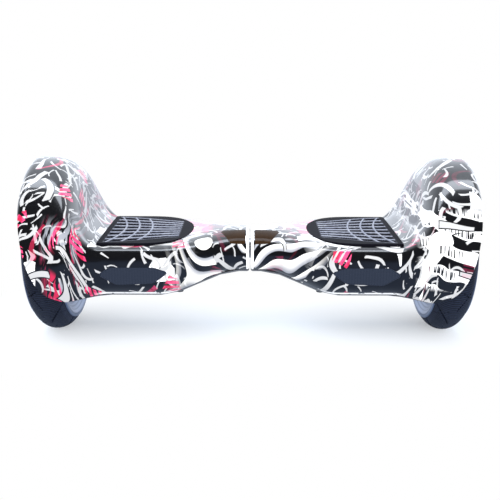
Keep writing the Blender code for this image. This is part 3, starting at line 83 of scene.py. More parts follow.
# ---- sizes shared with the solids, angles in degrees ----
TYRE_RADIUS = 127 * MM
WHEEL_OFFSET = 290 * MM
RIM_WIDTH = 54 * MM
RIM_FLANGE_RADIUS = 110 * MM
RIM_SEAT_RADIUS = 101 * MM
RIM_WALL = 4 * MM
FLANGE_WIDTH = 3.5 * MM
WEB_DEPTH = 8 * MM
WEB_THICKNESS = 4 * MM
TREAD_BULGE = 33 * MM
TREAD_HALF_WIDTH = 29 * MM
TREAD_GROOVES = 11
GROOVE_WIDTH = 3.4 * MM
GROOVE_DEPTH = 2.4 * MM
GROOVE_START = 3 * MM
GROOVE_END = 25 * MM
GROOVE_LEAN = 0.3  # radians from start to end
GROOVE_SWEEP = 0.8  # power of the distance along
HUB_CAP_WALL = 2.5 * MM
HUB_CAP_SPOKES = 5
BEARING_SEAT = 17.8 * MM
BEARING_WALL = 6 * MM
BEARING_WIDTH = 11 * MM
STATOR_HALF = 11 * MM
DRUM_BORE = 59.6 * MM
DRUM_RADIUS = 65.6 * MM
DRUM_HALF_LENGTH = 17 * MM
SHELL_WALL = 3 * MM
FENDER_RADIUS = 134.5 * MM
DECK_HEIGHT = 150.5 * MM
BODY_BOTTOM = 66 * MM
BODY_HALF_DEPTH = 104 * MM
BULGE_HEIGHT = 116 * MM
DECK_SQUARENESS = 6.0
BELLY_SQUARENESS = 3.5
NECK_SQUARENESS = 2.3
NECK_HEIGHT = 122 * MM
NECK_HALF_HEIGHT = 32.5 * MM
NECK_HALF_DEPTH = 52 * MM
NECK_END = 16 * MM
BODY_START = 128 * MM
HALF_GAP = 2.4 * MM
END_ROLL = 3 * MM
ARCH_MIDDLE = 245 * MM
ARCH_STEEP = 7 * MM
ARCH_GENTLE = 9.5 * MM
SIDES_FLARE = 200 * MM
WELL_WALL = 254 * MM
FENDER_OUTER = 321 * MM
FENDER_LIP_RADIUS = 14 * MM
FENDER_EDGE_LOW = 76 * MM
FENDER_EDGE_HIGH = 246 * MM
SHELL_SPLIT = 128
MAT_INNER = 86 * MM
MAT_OUTER = 217 * MM
MAT_HALF_DEPTH = 88 * MM
MAT_THICKNESS = 5.6 * MM
MAT_PROUD = 1.2 * MM
MAT_GAP = 0.6 * MM
LENS_INNER = 114 * MM
LENS_OUTER = 214 * MM
LENS_LOW = 94.5 * MM
LENS_HIGH = 120.5 * MM
WINDOW_INNER = 7 * MM
WINDOW_OUTER = 43 * MM
WINDOW_TILT = 36
WINDOW_HALF = 17 * MM
BUTTON_X = 142 * MM
BUTTON_RADIUS = 7 * MM
SOCKET_X = 178 * MM
SOCKET_RADIUS = 9 * MM
CLEARANCE = 0.3 * MM

MAT_TOP = DECK_HEIGHT + MAT_PROUD
HUB_CAP_RADIUS = RIM_SEAT_RADIUS - RIM_WALL - CLEARANCE
AXLE_HEIGHT = TYRE_RADIUS
WHEEL_MIDDLE = (WHEEL_OFFSET, 0, AXLE_HEIGHT)

CUT_DEPTH = 40 * MM  # of the prisms that cut thin walls
PATCH_MARGIN = 6 * MM  # of skin round a lens or window

# ---- fine form that only the scene has ----
WHEEL_STEPS = 120
TREAD_STEPS = 840
TREAD_COLUMNS = 72
THIN_GROOVE_DEPTH = 1.3 * MM
NOTCH_DEPTH = 1.1 * MM
HATCH_LINES = 198
VALVE_POCKET_ANGLE = 232
VALVE_POCKET_INSET = 11 * MM
VALVE_POCKET_RADIUS = 5 * MM
MAT_COLUMNS = 320
MAT_SLOTS = 8
MAT_SLOT_DEPTH = 2.2 * MM
MAT_SLOT_SHARE = (0.35, 0.40)  # half width of a slot, near the nose and near the wheel
MAT_FAN = (0.5, 0.93)  # width of all the slots there, as a share of the mat's
MAT_EDGE_ROUND = 1.3 * MM
MAT_RIBS = 3  # curved ribs across the slots
MAT_RIB_START = 28 * MM  # from the outer end
MAT_RIB_PITCH = 20 * MM
MAT_RIB_BEND = 5 * MM


# ---- shader graphs ----


class Graph:
    """A tree of shader nodes, with short calls to add them."""

    def __init__(self, owner):
        owner.use_nodes = True
        self.owner = owner
        self.tree = owner.node_tree

    def node(self, kind, inputs=(), **settings):
        made = self.tree.nodes.new(kind)
        for key, value in settings.items():
            setattr(made, key, value)
        for key, value in dict(inputs).items():
            self.feed(made.inputs[key], value)
        return made

    def feed(self, socket, value):
        if isinstance(value, bpy.types.NodeSocket):
            self.tree.links.new(value, socket)
        else:
            socket.default_value = value

    def math(self, operation, a, b=0.0, c=0.0):
        settings = {0: a, 1: b, 2: c}
        return self.node("ShaderNodeMath", settings, operation=operation).outputs[0]

    def times(self, product, *factors):
        for factor in factors:
            product = self.math("MULTIPLY", product, factor)
        return product

    def scaled(self, value, factor, plus):
        return self.math("MULTIPLY_ADD", value, factor, plus)

    def off_middle(self, value, pitch):
        """How far the value is from the middle of its own pitch, in pitches."""
        share = self.math("FRACT", self.math("DIVIDE", value, pitch))
        return self.math("ABSOLUTE", self.math("SUBTRACT", share, 0.5))

    def past(self, value, limit):
        """How far the value lies past the limit, on either side of 0."""
        return self.math("SUBTRACT", self.math("ABSOLUTE", value), limit)

    def vector(self, operation, a, b=(0, 0, 0)):
        made = self.node("ShaderNodeVectorMath", {0: a}, operation=operation)
        self.feed(made.inputs["Scale" if operation == "SCALE" else 1], b)
        return made.outputs["Value" if operation == "LENGTH" else 0]

    def split(self, vector):
        return self.node("ShaderNodeSeparateXYZ", {0: vector}).outputs

    def step(self, value, low, high, start=0.0, end=1.0):
        """From start at low to end at high, and smooth between."""
        inputs = {"Value": value, "From Min": low, "From Max": high, "To Min": start, "To Max": end}
        return self.node("ShaderNodeMapRange", inputs, interpolation_type="SMOOTHSTEP").outputs[0]

    def zone(self, *steps):
        """1 where each (value, low, high) is past its high end, 0 where one is short of low."""
        return self.times(*(self.step(*step) for step in steps))

    def mix(self, share, a, b):
        return self.node("ShaderNodeMix", {0: share, 6: a, 7: b}, data_type="RGBA").outputs[2]

    def noise(self, vector, scale, detail=2.0, roughness=0.5, output="Fac"):
        inputs = {"Vector": vector, "Scale": scale, "Detail": detail, "Roughness": roughness}
        return self.node("ShaderNodeTexNoise", inputs).outputs[output]

    def place(self):
        """The point's own place on the object."""
        return self.node("ShaderNodeTexCoord").outputs["Object"]

    def light_path(self, rays):
        return self.node("ShaderNodeLightPath").outputs[rays]

    def blend(self, share, first, second):
        """A mix of two shaders."""
        return self.node("ShaderNodeMixShader", {0: share, 1: first, 2: second}).outputs[0]


class MaterialGraph(Graph):
    def __init__(self, name):
        super().__init__(bpy.data.materials.new(name))
        self.shader = self.tree.nodes["Principled BSDF"]

    def bump(self, height, strength, distance):
        inputs = {"Height": height, "Strength": strength, "Distance": distance}
        self.feed(self.shader.inputs["Normal"], self.node("ShaderNodeBump", inputs).outputs[0])

    def finish(self, **sockets):
        """Sets the shader's sockets, named with underscores for spaces."""
        for key, value in sockets.items():
            self.feed(self.shader.inputs[key.replace("_", " ")], value)
        return self.owner


# ---- the shells' print, and painted highlights on its edges ----

OFF_WHITE = (0.93, 0.93, 0.94, 1)
CREAM = (0.93, 0.905, 0.86, 1)
INK_BLACK = (0.0025, 0.0025, 0.0035, 1)
INK_GREY = (0.3, 0.31, 0.35, 1)
INK_PINK = (0.74, 0.055, 0.18, 1)
INK_CRIMSON = (0.5, 0.012, 0.06, 1)

LEFT_PRINT_SHIFT = (1.7, 0.6)
INK_EDGE = 0.00025
STROKE_BEND = 42.0  # largest curvature, per metre
STROKE_TAPER = 0.35
THIN_STROKES = (  # (cell size, shift, half length, half width, share of the cells)
    (0.042, (0.21, 0.43, 0), 0.0195, 0.0030, 0.60),
    (0.034, (0.53, 0.87, 0), 0.0160, 0.0021, 0.62),
    (0.026, (0.15, 0.34, 0), 0.0125, 0.0015, 0.60),
    (0.018, (0.77, 0.09, 0), 0.0085, 0.0009, 0.42),
)
BOLD_STROKES = (0.066, (0.9, 0.4, 0), 0.0240, 0.0037, 0.55)
BOLD_OUTLINE = 0.0019
LOOSE_STROKES = (0.066, (0.2, 0.77, 0), 0.027, 0.0027, 0.4)
PALE_SHARE = 0.26  # of the blocks
BAND_PITCH = 0.031
BAR_PITCH = 0.0085


class PrintGraph(MaterialGraph):
    """The print's nodes, with the places and regions that its layers share."""

    def __init__(self, name):
        super().__init__(name)
        self.points = self.node("ShaderNodeUVMap", uv_map="print").outputs[0]
        self.x, self.y, self.z = self.split(self.place())[:3]
        self.side = self.math("ABSOLUTE", self.x)
        cloud = self.noise(self.points, 26, 1, output="Color")
        self.sway = self.vector("SUBTRACT", cloud, (0.5, 0.5, 0.5))
        self.swayed = self.vector("ADD", self.points, self.vector("SCALE", self.sway, 0.013))
        self.waist = self.step(self.side, 0.125, 0.07)
        self.arches = self.step(self.side, 0.2, 0.26)
        self.left_arch = self.step(self.x, -0.19, -0.25)
        self.right_arch = self.step(self.x, 0.19, 0.25)
        self.low_front = self.zone((self.z, 0.102, 0.094), (self.side, 0.235, 0.215))


def cell_frame(g, points, size, shift):
    """Random cells about so large: (place from the cell's middle, three random numbers)."""
    moved = g.vector("ADD", points, shift)
    inputs = {"Vector": moved, "Scale": 1 / size, "Randomness": 0.8}
    cells = g.node("ShaderNodeTexVoronoi", inputs, voronoi_dimensions="2D").outputs
    return g.vector("SUBTRACT", moved, cells["Position"]), g.split(cells["Color"])


def turned_by(g, vector, angle):
    """(u, v) of a place turned by an angle."""
    inputs = {"Vector": vector, "Angle": angle}
    made = g.node("ShaderNodeVectorRotate", inputs, rotation_type="Z_AXIS")
    return g.split(made.outputs[0])[:2]


def stroke(g, points, size, shift, length, width, share):
    """One bent and tapered brush stroke in a share of the random cells, as the distance
    past its edge, which is below 0 inside it."""
    local, random = cell_frame(g, points, size, shift)
    u, v = turned_by(g, local, g.times(random[0], tau))
    bend = g.scaled(random[1], 2 * STROKE_BEND, -STROKE_BEND)
    bowed = g.scaled(g.times(u, u), bend, v)
    taper = g.scaled(g.math("DIVIDE", u, length), STROKE_TAPER, 1.0)
    over = g.math("MAXIMUM", g.past(bowed, g.times(taper, width)), g.past(u, length))
    return g.math("MAXIMUM", over, g.math("GREATER_THAN", random[2], share))


def inked(g, over, edge=INK_EDGE):
    """1 inside a shape and 0 outside, from the distance past its edge."""
    return g.step(over, edge, -edge)


def blocks(g):
    """Blocks of black and white, with thin strokes in the other colour over them."""
    random = cell_frame(g, g.swayed, 0.042, (1.37, 0.24, 0))[1]
    pale = g.scaled(g.right_arch, -0.2, PALE_SHARE)
    pale = g.scaled(g.left_arch, -0.14, pale)
    pale = g.scaled(g.low_front, -0.30, pale)
    pale = g.scaled(g.waist, -0.14, pale)
    paint = g.math("LESS_THAN", random[0], pale)
    sparse = g.scaled(g.low_front, -0.5, 1.0)
    marks = 0.0
    for *form, share in THIN_STROKES:
        over = stroke(g, g.swayed, *form, g.times(sparse, share))
        marks = g.math("MAXIMUM", marks, inked(g, over))
    paint = g.math("ABSOLUTE", g.math("SUBTRACT", paint, marks))
    worn = g.step(g.noise(g.points, 110, 3, 0.7), 0.30, 0.34)
    return g.mix(g.times(paint, worn), INK_BLACK, OFF_WHITE)


def bands(g, colour):
    """White bands across the right arch, some with a row of black ticks."""
    rise = g.scaled(g.x, 0.3, g.z)
    rise = g.scaled(g.split(g.sway)[0], 0.02, rise)
    across = g.off_middle(rise, BAND_PITCH)
    ends = (g.z, 0.208, 0.196), (g.z, 0.094, 0.104)
    band = g.zone((across, 0.28, 0.26), (g.x, 0.228, 0.244), *ends)
    comb = g.noise(g.vector("MULTIPLY", g.place(), (620, 0, 22)), 1.0, 1)
    rows = g.noise(g.points, 16, 1)
    ticks = g.zone((comb, 0.5, 0.52), (across, 0.20, 0.18), (rows, 0.46, 0.48))
    banded = g.mix(ticks, OFF_WHITE, INK_BLACK)
    dry = g.noise(g.vector("MULTIPLY", g.points, (14, 160, 1)), 1.0, 2)
    return g.mix(g.times(band, g.step(dry, 0.33, 0.36)), colour, banded)


def ribbons(g, colour):
    """Broad ribbons that flow over the waist, each shaded from white to grey."""
    flow = g.noise(g.points, 6.5, 1, 0.35)
    fold = g.math("FRACT", g.times(flow, 21))
    shaded = g.mix(g.step(fold, 0.1, 0.56), CREAM, INK_GREY)
    shaded = g.mix(g.step(fold, 0.54, 0.57), shaded, INK_BLACK)
    veil = g.step(g.noise(g.points, 9, 1), 0.44, 0.455)
    return g.mix(g.times(g.waist, veil), colour, shaded)


def wash(g, colour):
    """A wash of pink behind the inner end of each mat."""
    cloud = g.noise(g.swayed, 34, 3, 0.6)
    reach = (g.side, 0.052, 0.066), (g.side, 0.112, 0.094)
    share = g.zone(*reach, (g.y, -0.04, -0.015), (cloud, 0.44, 0.52))
    return g.mix(g.times(share, 0.85), colour, INK_PINK)


def streaks(g, colour):
    """Long dry streaks in pink, crimson and grey that run up the left arch."""
    waving = g.vector("ADD", g.points, g.vector("SCALE", g.sway, 0.02))
    streak = g.noise(g.vector("MULTIPLY", waving, (240, 17, 1)), 1.0, 2, 0.6)
    reach = (g.side, 0.232, 0.242), (g.side, 0.286, 0.272), (g.z, 0.2, 0.17)
    patch = g.zone(*reach, (g.noise(g.points, 11, 1), 0.44, 0.50))
    share = g.times(g.step(streak, 0.48, 0.51), patch, g.left_arch)
    hue = g.noise(g.vector("MULTIPLY", g.points, (90, 9, 1)), 1.0, 1)
    ink = g.mix(g.step(hue, 0.47, 0.5), INK_GREY, INK_PINK)
    ink = g.mix(g.step(hue, 0.55, 0.58), ink, INK_CRIMSON)
    return g.mix(share, colour, ink)


def bold_strokes(g, colour):
    """Bold white strokes with a black outline."""
    over = stroke(g, g.points, *BOLD_STROKES)
    colour = g.mix(inked(g, g.math("SUBTRACT", over, BOLD_OUTLINE)), colour, INK_BLACK)
    return g.mix(inked(g, over), colour, OFF_WHITE)


def bars(g, colour):
    """Groups of slanted bars and loose strokes in pink and crimson, faint on the waist and
    the right arch."""
    local, random = cell_frame(g, g.points, 0.071, (0.55, 0.3, 0))
    u, v = turned_by(g, local, g.times(random[0], pi))
    slant = g.scaled(v, 0.35, u)
    tall = g.past(v, g.scaled(slant, -0.3, 0.0105))
    group = inked(g, g.math("MAXIMUM", g.past(u, 0.0128), tall))
    bar = g.step(g.off_middle(slant, BAR_PITCH), 0.34, 0.31)
    shown = g.times(group, bar, g.math("GREATER_THAN", random[2], 0.5))
    loose = inked(g, stroke(g, g.points, *LOOSE_STROKES))
    ink = g.mix(g.step(g.noise(g.points, 70, 2), 0.5, 0.56), INK_PINK, INK_CRIMSON)
    bare = g.times(g.math("MAXIMUM", g.waist, g.right_arch), 0.85)
    share = g.times(g.math("MAXIMUM", shown, loose), g.math("SUBTRACT", 1, bare))
    return g.mix(share, colour, ink)


def speckle(g, colour):
    """Clusters of fine white drops on the arches."""
    local, random = cell_frame(g, g.points, 0.0068, (0, 0, 0))
    radius = g.scaled(random[0], 0.0014, -0.0002)
    drop = inked(g, g.math("SUBTRACT", g.vector("LENGTH", local), radius), 0.0001)
    cluster = g.step(g.noise(g.points, 19, 1), 0.6, 0.63)
    return g.mix(g.times(cluster, g.arches, drop), colour, OFF_WHITE)


def painted_edge_highlights(g, colour):
    """Painted highlights in white: a broken line along the lower edge under the lenses, and
    the rolled edges that face each other between the halves."""
    # Painted highlight: a broken white line along the curved lower edge under the lenses, where the
    # lacquer would reflect the floor.
    mottle = g.noise(g.points, 60, 3, 0.6)
    reach = (g.side, 0.09, 0.105), (g.side, 0.222, 0.206)
    edge_highlight = g.zone((g.z, 0.0824, 0.0814), *reach, (mottle, 0.38, 0.44))
    colour = g.mix(edge_highlight, colour, OFF_WHITE)
    # Painted highlight: white on the rolled edges that face each other across the gap between the
    # halves.
    return g.mix(g.step(g.side, 0.0055, 0.0052), colour, OFF_WHITE)


def print_material():
    """Glossy lacquer over the print, with painted highlights on the shell's edges."""
    g = PrintGraph("printed_shell")
    colour = blocks(g)
    # The last layer paints highlights in white on the shell's edges.
    for layer in (bands, ribbons, wash, streaks, bold_strokes, bars, speckle, painted_edge_highlights):
        colour = layer(g, colour)
    coat = {"Coat_Weight": 1.0, "Coat_Roughness": 0.03, "Coat_IOR": 1.45}
    return g.finish(Base_Color=colour, Roughness=0.3, Specular_IOR_Level=0.25, **coat)


# ---- the other materials ----


def plastic_material(name, colour, roughness, grain):
    """Moulded plastic with a fine spark-eroded grain."""
    g = MaterialGraph(name)
    place = g.place()
    shade = g.step(g.noise(place, 45, 4), 0.35, 0.75)
    lighter = tuple(c * 1.35 + 0.004 for c in colour)
    rough = g.scaled(shade, 0.12, roughness - 0.06)
    g.bump(g.noise(place, 1600, 3, 0.6), grain, 0.0004)
    return g.finish(Base_Color=g.mix(shade, (*colour, 1), (*lighter, 1)), Roughness=rough)


def mat_material():
    """Moulded rubber, worn paler on the ribs, and black in the slots and on the rim."""
    g = MaterialGraph("rubber_mat")
    place = g.place()
    rib = g.node("ShaderNodeAttribute", attribute_name="rib").outputs["Fac"]
    dust = g.step(g.noise(place, 60, 4), 0.35, 0.75)
    pale = g.mix(dust, (0.24, 0.26, 0.33, 1), (0.33, 0.35, 0.42, 1))
    g.bump(g.noise(place, 1300, 3, 0.6), 0.15, 0.0003)
    return g.finish(Base_Color=g.mix(rib, (0.004, 0.004, 0.007, 1), pale), Roughness=0.6, IOR=1.12)


def tyre_material():
    """Moulded rubber, with fine hatching between the tread's grooves."""
    g = MaterialGraph("tyre_rubber")
    place = g.place()
    x, y, z = g.split(place)[:3]
    along = g.past(x, WHEEL_OFFSET)
    height = g.math("SUBTRACT", z, AXLE_HEIGHT)
    turn = g.math("ARCTAN2", y, height)
    radius = g.math("SQRT", g.math("ADD", g.times(y, y), g.times(height, height)))
    lean = g.times(g.math("ABSOLUTE", along), 26.0)
    hatch = g.math("SINE", g.scaled(turn, HATCH_LINES, lean))
    lines = g.zone((hatch, 0.25, 0.75), (radius, 0.1165, 0.1185))
    mottle = g.noise(place, 22, 4)
    worn = g.mix(g.step(mottle, 0.35, 0.7), (0.008, 0.011, 0.024, 1), (0.014, 0.020, 0.040, 1))
    colour = g.mix(lines, worn, (0.002, 0.003, 0.005, 1))
    rough = g.scaled(mottle, 0.2, 0.5)
    g.bump(g.scaled(lines, -0.9, g.noise(place, 900, 3, 0.6)), 0.6, 0.0006)
    return g.finish(Base_Color=colour, Roughness=rough, IOR=1.3)


def metal_material(name, colour, roughness, brush=0.25):
    """Turned metal with fine rings round the axle and slight tarnish."""
    g = MaterialGraph(name)
    place = g.place()
    out = g.vector("MULTIPLY", g.vector("SUBTRACT", place, (0, 0, AXLE_HEIGHT)), (0, 1, 1))
    turned = {"W": g.vector("LENGTH", out), "Scale": 260.0, "Detail": 3.0, "Roughness": 0.6}
    rings = g.node("ShaderNodeTexNoise", turned, noise_dimensions="1D").outputs["Fac"]
    tarnish = g.noise(place, 35, 3)
    darker = tuple(c * 0.66 for c in colour)
    worn = g.times(g.step(tarnish, 0.25, 0.75), 0.4)
    worn = g.math("MAXIMUM", worn, g.step(rings, 0.42, 0.62))
    tone = g.mix(worn, (*colour, 1), (*darker, 1))
    rough = g.scaled(rings, 0.14, roughness - 0.07)
    g.bump(rings, brush, 0.0001)
    return g.finish(Base_Color=tone, Roughness=rough, Metallic=1.0)


METALS = {  # name: (colour, roughness, and how deep its rings are)
    "rim_alloy": ((0.24, 0.28, 0.37), 0.36),
    "cast_alloy": ((0.52, 0.52, 0.54), 0.5, 0.4),
    "steel": ((0.46, 0.46, 0.48), 0.28),
    "copper": ((0.6, 0.3, 0.16), 0.4),
    "bronze": ((0.5, 0.33, 0.14), 0.35),
}


def lens_material():
    """Smoked polycarbonate, polished, with faint moulded flutes behind."""
    g = MaterialGraph("smoked_lens")
    x = g.split(g.place())[0]
    flutes = g.math("SINE", g.times(x, tau / (4 * MM)))
    shade = g.mix(g.step(flutes, -1.0, 1.0), (0.010, 0.012, 0.020, 1), (0.018, 0.021, 0.032, 1))
    coat = {"Coat_Weight": 1.0, "Coat_Roughness": 0.02}
    return g.finish(Base_Color=shade, Roughness=0.08, Transmission_Weight=0.35, IOR=1.55, **coat)


def window_material():
    """Smoked amber window over the indicator lights."""
    g = MaterialGraph("amber_window")
    cloud = g.noise(g.place(), 70, 2)
    shade = g.mix(cloud, (0.02, 0.01, 0.004, 1), (0.05, 0.026, 0.012, 1))
    coat = {"Coat_Weight": 0.1, "Coat_Roughness": 0.03}
    return g.finish(Base_Color=shade, Roughness=0.12, Transmission_Weight=0.2, IOR=1.12, **coat)


def board_material():
    """Solder mask with copper pads and traces."""
    g = MaterialGraph("circuit_board")
    place = g.place()
    cells = g.node("ShaderNodeTexVoronoi", {"Vector": place, "Scale": 260.0})
    pads = g.step(cells.outputs["Distance"], 0.26, 0.22)
    lines = g.node("ShaderNodeTexWave", {"Vector": place, "Scale": 130.0, "Distortion": 3.0})
    traces = g.step(lines.outputs["Fac"], 0.82, 0.9)
    green = g.mix(traces, (0.01, 0.11, 0.05, 1), (0.03, 0.2, 0.09, 1))
    colour = g.mix(pads, green, (0.7, 0.6, 0.4, 1))
    return g.finish(Base_Color=colour, Roughness=0.35, Coat_Weight=0.4)


# ---- mesh helpers ----


def new_object(name, mesh, material=None):
    obj = bpy.data.objects.new(name, mesh)
    bpy.context.scene.collection.objects.link(obj)
    if material:
        mesh.materials.append(material)
    return obj


def bake(obj):
    """Replaces the object's mesh by what its modifiers make of it."""
    graph = bpy.context.evaluated_depsgraph_get()
    mesh = bpy.data.meshes.new_from_object(obj.evaluated_get(graph))
    obj.modifiers.clear()
    old, obj.data = obj.data, mesh
    bpy.data.meshes.remove(old)


def smooth_shade(mesh, degrees=32):
    mesh.shade_smooth()
    mesh.set_sharp_from_angle(angle=radians(degrees))


def grid_mesh(name, rows, closed=False, flip=False):
    """Quads over a grid of points, which may close on itself both ways."""
    mesh = bpy.data.meshes.new(name)
    height, width = len(rows), len(rows[0])
    points = [point for row in rows for point in row]
    faces = []
    for i in range(height if closed else height - 1):
        for j in range(width if closed else width - 1):
            a, b = i * width + j, i * width + (j + 1) % width
            below = (i + 1) % height * width
            quad = (a, b, below + (j + 1) % width, below + j)
            faces.append(quad[::-1] if flip else quad)
    mesh.from_pydata(points, [], faces)
    return mesh


def prism(outline, depth, matrix):
    """A solid between two copies of a flat outline, for cutting."""
    bm = bmesh.new()
    low = [bm.verts.new((u, v, -depth / 2)) for u, v in outline]
    high = [bm.verts.new((u, v, depth / 2)) for u, v in outline]
    bm.faces.new(low[::-1])
    bm.faces.new(high)
    for quad in zip(low, low[1:] + low[:1], high[1:] + high[:1], high):
        bm.faces.new(quad)
    bmesh.ops.transform(bm, matrix=matrix, verts=bm.verts)
    bmesh.ops.recalc_face_normals(bm, faces=bm.faces)
    mesh = bpy.data.meshes.new("cutter")
    bm.to_mesh(mesh)
    bm.free()
    return mesh


def carve(obj, meshes, operation="DIFFERENCE"):
    """Cuts with each mesh in turn. The new faces take the object's last material."""
    for mesh in meshes:
        cutter = new_object("cutter", mesh)
        for material in obj.data.materials:
            mesh.materials.append(material)
        for face in mesh.polygons:
            face.material_index = len(mesh.materials) - 1
        modifier = obj.modifiers.new("cut", "BOOLEAN")
        modifier.object = cutter
        modifier.operation = operation
        modifier.solver = "EXACT"
        bake(obj)
        bpy.data.objects.remove(cutter)
        bpy.data.meshes.remove(mesh)
    smooth_shade(obj.data)


def to_side(obj, side):
    """Mirrors a piece built on the +X side to the left one."""
    if SIDES[side] < 0:
        obj.data.transform(Matrix.Scale(-1, 4, (1, 0, 0)))
        obj.data.flip_normals()


def ring_mesh(name, sections, flip):
    """A closed surface through sections of (along, radius), evenly round the axle."""
    rows = []
    for i, section in enumerate(sections):
        angle = tau * i / len(sections)
        rows.append([(x, r * sin(angle), r * cos(angle)) for x, r in section])
    mesh = grid_mesh(name, rows, closed=True, flip=flip)
    mesh.transform(Matrix.Translation(WHEEL_MIDDLE))
    return mesh


def lathe(name, outline, material):
    """Turns a closed outline of (along, radius, corner's radius in mm) about the axle."""
    profile = softened(outline, 3, MM)
    area = sum(a[0] * b[1] - b[0] * a[1] for a, b in zip(profile, profile[1:] + profile[:1]))
    mesh = ring_mesh(name, [profile] * WHEEL_STEPS, flip=area < 0)
    smooth_shade(mesh)
    return new_object(name, mesh, material)


def softened(corners, steps, unit):
    """Rounds the corners of an outline of (u, v, corner's radius in the unit)."""
    points = []
    for i, (*corner, radius) in enumerate(corners):
        here = Vector(corner)
        if not radius:
            points.append(tuple(corner))
            continue
        before = Vector(corners[i - 1][:2]) - here
        after = Vector(corners[(i + 1) % len(corners)][:2]) - here
        half = before.angle(after) / 2
        reach = min(radius * unit / tan(half), 0.45 * before.length, 0.45 * after.length)
        before.normalize()
        after.normalize()
        turn = reach * tan(half)
        centre = here + (before + after).normalized() * turn / sin(half)
        first, last = here + before * reach - centre, here + after * reach - centre
        for k in range(steps + 1):
            points.append(tuple(centre + turn * first.slerp(last, k / steps)))
    return points


def rounded(*corners):
    return softened(corners, 6, 1.0)


def circle(u, v, radius, steps=40):
    angles = [tau * i / steps for i in range(steps)]
    return [(u + radius * cos(a), v + radius * sin(a)) for a in angles]


def upright(middle_y=0.0):
    """Stands an outline's plane up to face along Y."""
    return Matrix.Translation((0, middle_y, 0)) @ Matrix.Rotation(pi / 2, 4, "X")


def sideways(middle_x):
    """Stands an outline's plane up to face along X."""
    return Matrix(((0, 0, 1, middle_x), (1, 0, 0, 0), (0, 1, 0, 0), (0, 0, 0, 1)))


def smooth(value, low, high):
    t = min(1.0, max(0.0, (value - low) / (high - low)))
    return t * t * (3 - 2 * t)


def mix(a, b, t):
    return a + (b - a) * t


# ---- the shells' skin ----


def body_point(x, turn):
    """(depth, height) on the body's section at x, at a turn from the crown: a round neck
    that grows into a squarer deck and belly."""
    t = smooth(x, NECK_END, BODY_START)
    middle = mix(NECK_HEIGHT, BULGE_HEIGHT, t)
    along, up = sin(radians(turn)), cos(radians(turn))
    if turn <= 90:
        rise = mix(NECK_HALF_HEIGHT, DECK_HEIGHT - BULGE_HEIGHT, t)
        squareness = mix(NECK_SQUARENESS, DECK_SQUARENESS, t)
    else:
        rise = mix(NECK_HALF_HEIGHT, BULGE_HEIGHT - BODY_BOTTOM, t)
        squareness = mix(NECK_SQUARENESS, BELLY_SQUARENESS, t)
    depth = mix(NECK_HALF_DEPTH, BODY_HALF_DEPTH, t) * max(0.0, along) ** (2 / squareness)
    return depth, middle + copysign(rise * abs(up) ** (2 / squareness), up)


def fender_point(x, turn):
    """(depth, height) on the arch over the wheel, with its outer end rounded by the lip."""
    over = min(max(0.0, x - FENDER_OUTER + FENDER_LIP_RADIUS), FENDER_LIP_RADIUS)
    radius = FENDER_RADIUS - FENDER_LIP_RADIUS + sqrt(FENDER_LIP_RADIUS**2 - over**2)
    end = acos((FENDER_EDGE_LOW - AXLE_HEIGHT) / radius)
    angle = end * turn / SHELL_SPLIT
    return radius * sin(angle), AXLE_HEIGHT + radius * cos(angle)


def arch_share(x, turn):
    """How much of the section is arch, steeper on the crown than down the sides."""
    steepness = mix(ARCH_STEEP, ARCH_GENTLE, smooth(x, ARCH_MIDDLE, ARCH_MIDDLE + 20 * MM))
    crown = 1 / (1 + exp((ARCH_MIDDLE - x) / steepness))
    foot = 1 / (1 + exp((ARCH_MIDDLE - MAT_OUTER) / ARCH_STEEP))
    crown = max(0.0, (crown - foot) / (1 - foot))
    sides = smooth(x, SIDES_FLARE, WELL_WALL + 8 * MM)
    return mix(crown, sides, smooth(turn, 35, 95))


def skin_point(x, signed_turn):
    """A point of the shell's skin: body and arch blended, and rolled in at the gap."""
    turn = abs(signed_turn)
    depth, height = body_point(x, turn)
    share = arch_share(x, turn)
    if turn <= SHELL_SPLIT:
        arch = fender_point(max(x, WELL_WALL), turn)
    else:
        edge = fender_point(WELL_WALL, SHELL_SPLIT)
        seam = body_point(x, SHELL_SPLIT)
        lift = (edge[1] - BODY_BOTTOM) / (seam[1] - BODY_BOTTOM)
        arch = (depth * edge[0] / seam[0], BODY_BOTTOM + (height - BODY_BOTTOM) * lift)
    depth, height = mix(depth, arch[0], share), mix(height, arch[1], share)
    out = Vector((depth, height - NECK_HEIGHT))
    inside = min(END_ROLL, max(0.0, HALF_GAP / 2 + END_ROLL - x))
    roll = END_ROLL - sqrt(END_ROLL**2 - inside**2)
    rolled = out * (1 - roll / out.length)
    return Vector((x, copysign(rolled.x, signed_turn), NECK_HEIGHT + rolled.y))


def spread(low, high, pitch):
    """Even steps of about the pitch, from low up to but not with high."""
    count = max(1, round((high - low) / pitch))
    return [mix(low, high, i / count) for i in range(count)]


def skin_stations():
    """Places along the half at which the skin has a section."""
    start = HALF_GAP / 2
    lip = FENDER_OUTER - FENDER_LIP_RADIUS
    rows = [start + END_ROLL * (1 - cos(radians(a))) for a in (0, 25, 45, 65)]
    rows += spread(start + END_ROLL, NECK_END, 4 * MM) + spread(NECK_END, SIDES_FLARE, 5 * MM)
    rows += spread(SIDES_FLARE, MAT_OUTER, 4 * MM) + spread(MAT_OUTER, WELL_WALL + 16 * MM, 2 * MM)
    rows += spread(WELL_WALL + 16 * MM, lip, 5 * MM)
    rows += [lip + FENDER_LIP_RADIUS * sin(radians(a)) for a in range(0, 57, 8)]
    return rows


def crown_turns():
    """Turns from the crown to the seam, close together where a square section's are."""
    middle = 60
    fine = [middle * (i / 24) ** 2.2 for i in range(24)]
    return fine + [mix(middle, SHELL_SPLIT, i / 16) for i in range(17)]


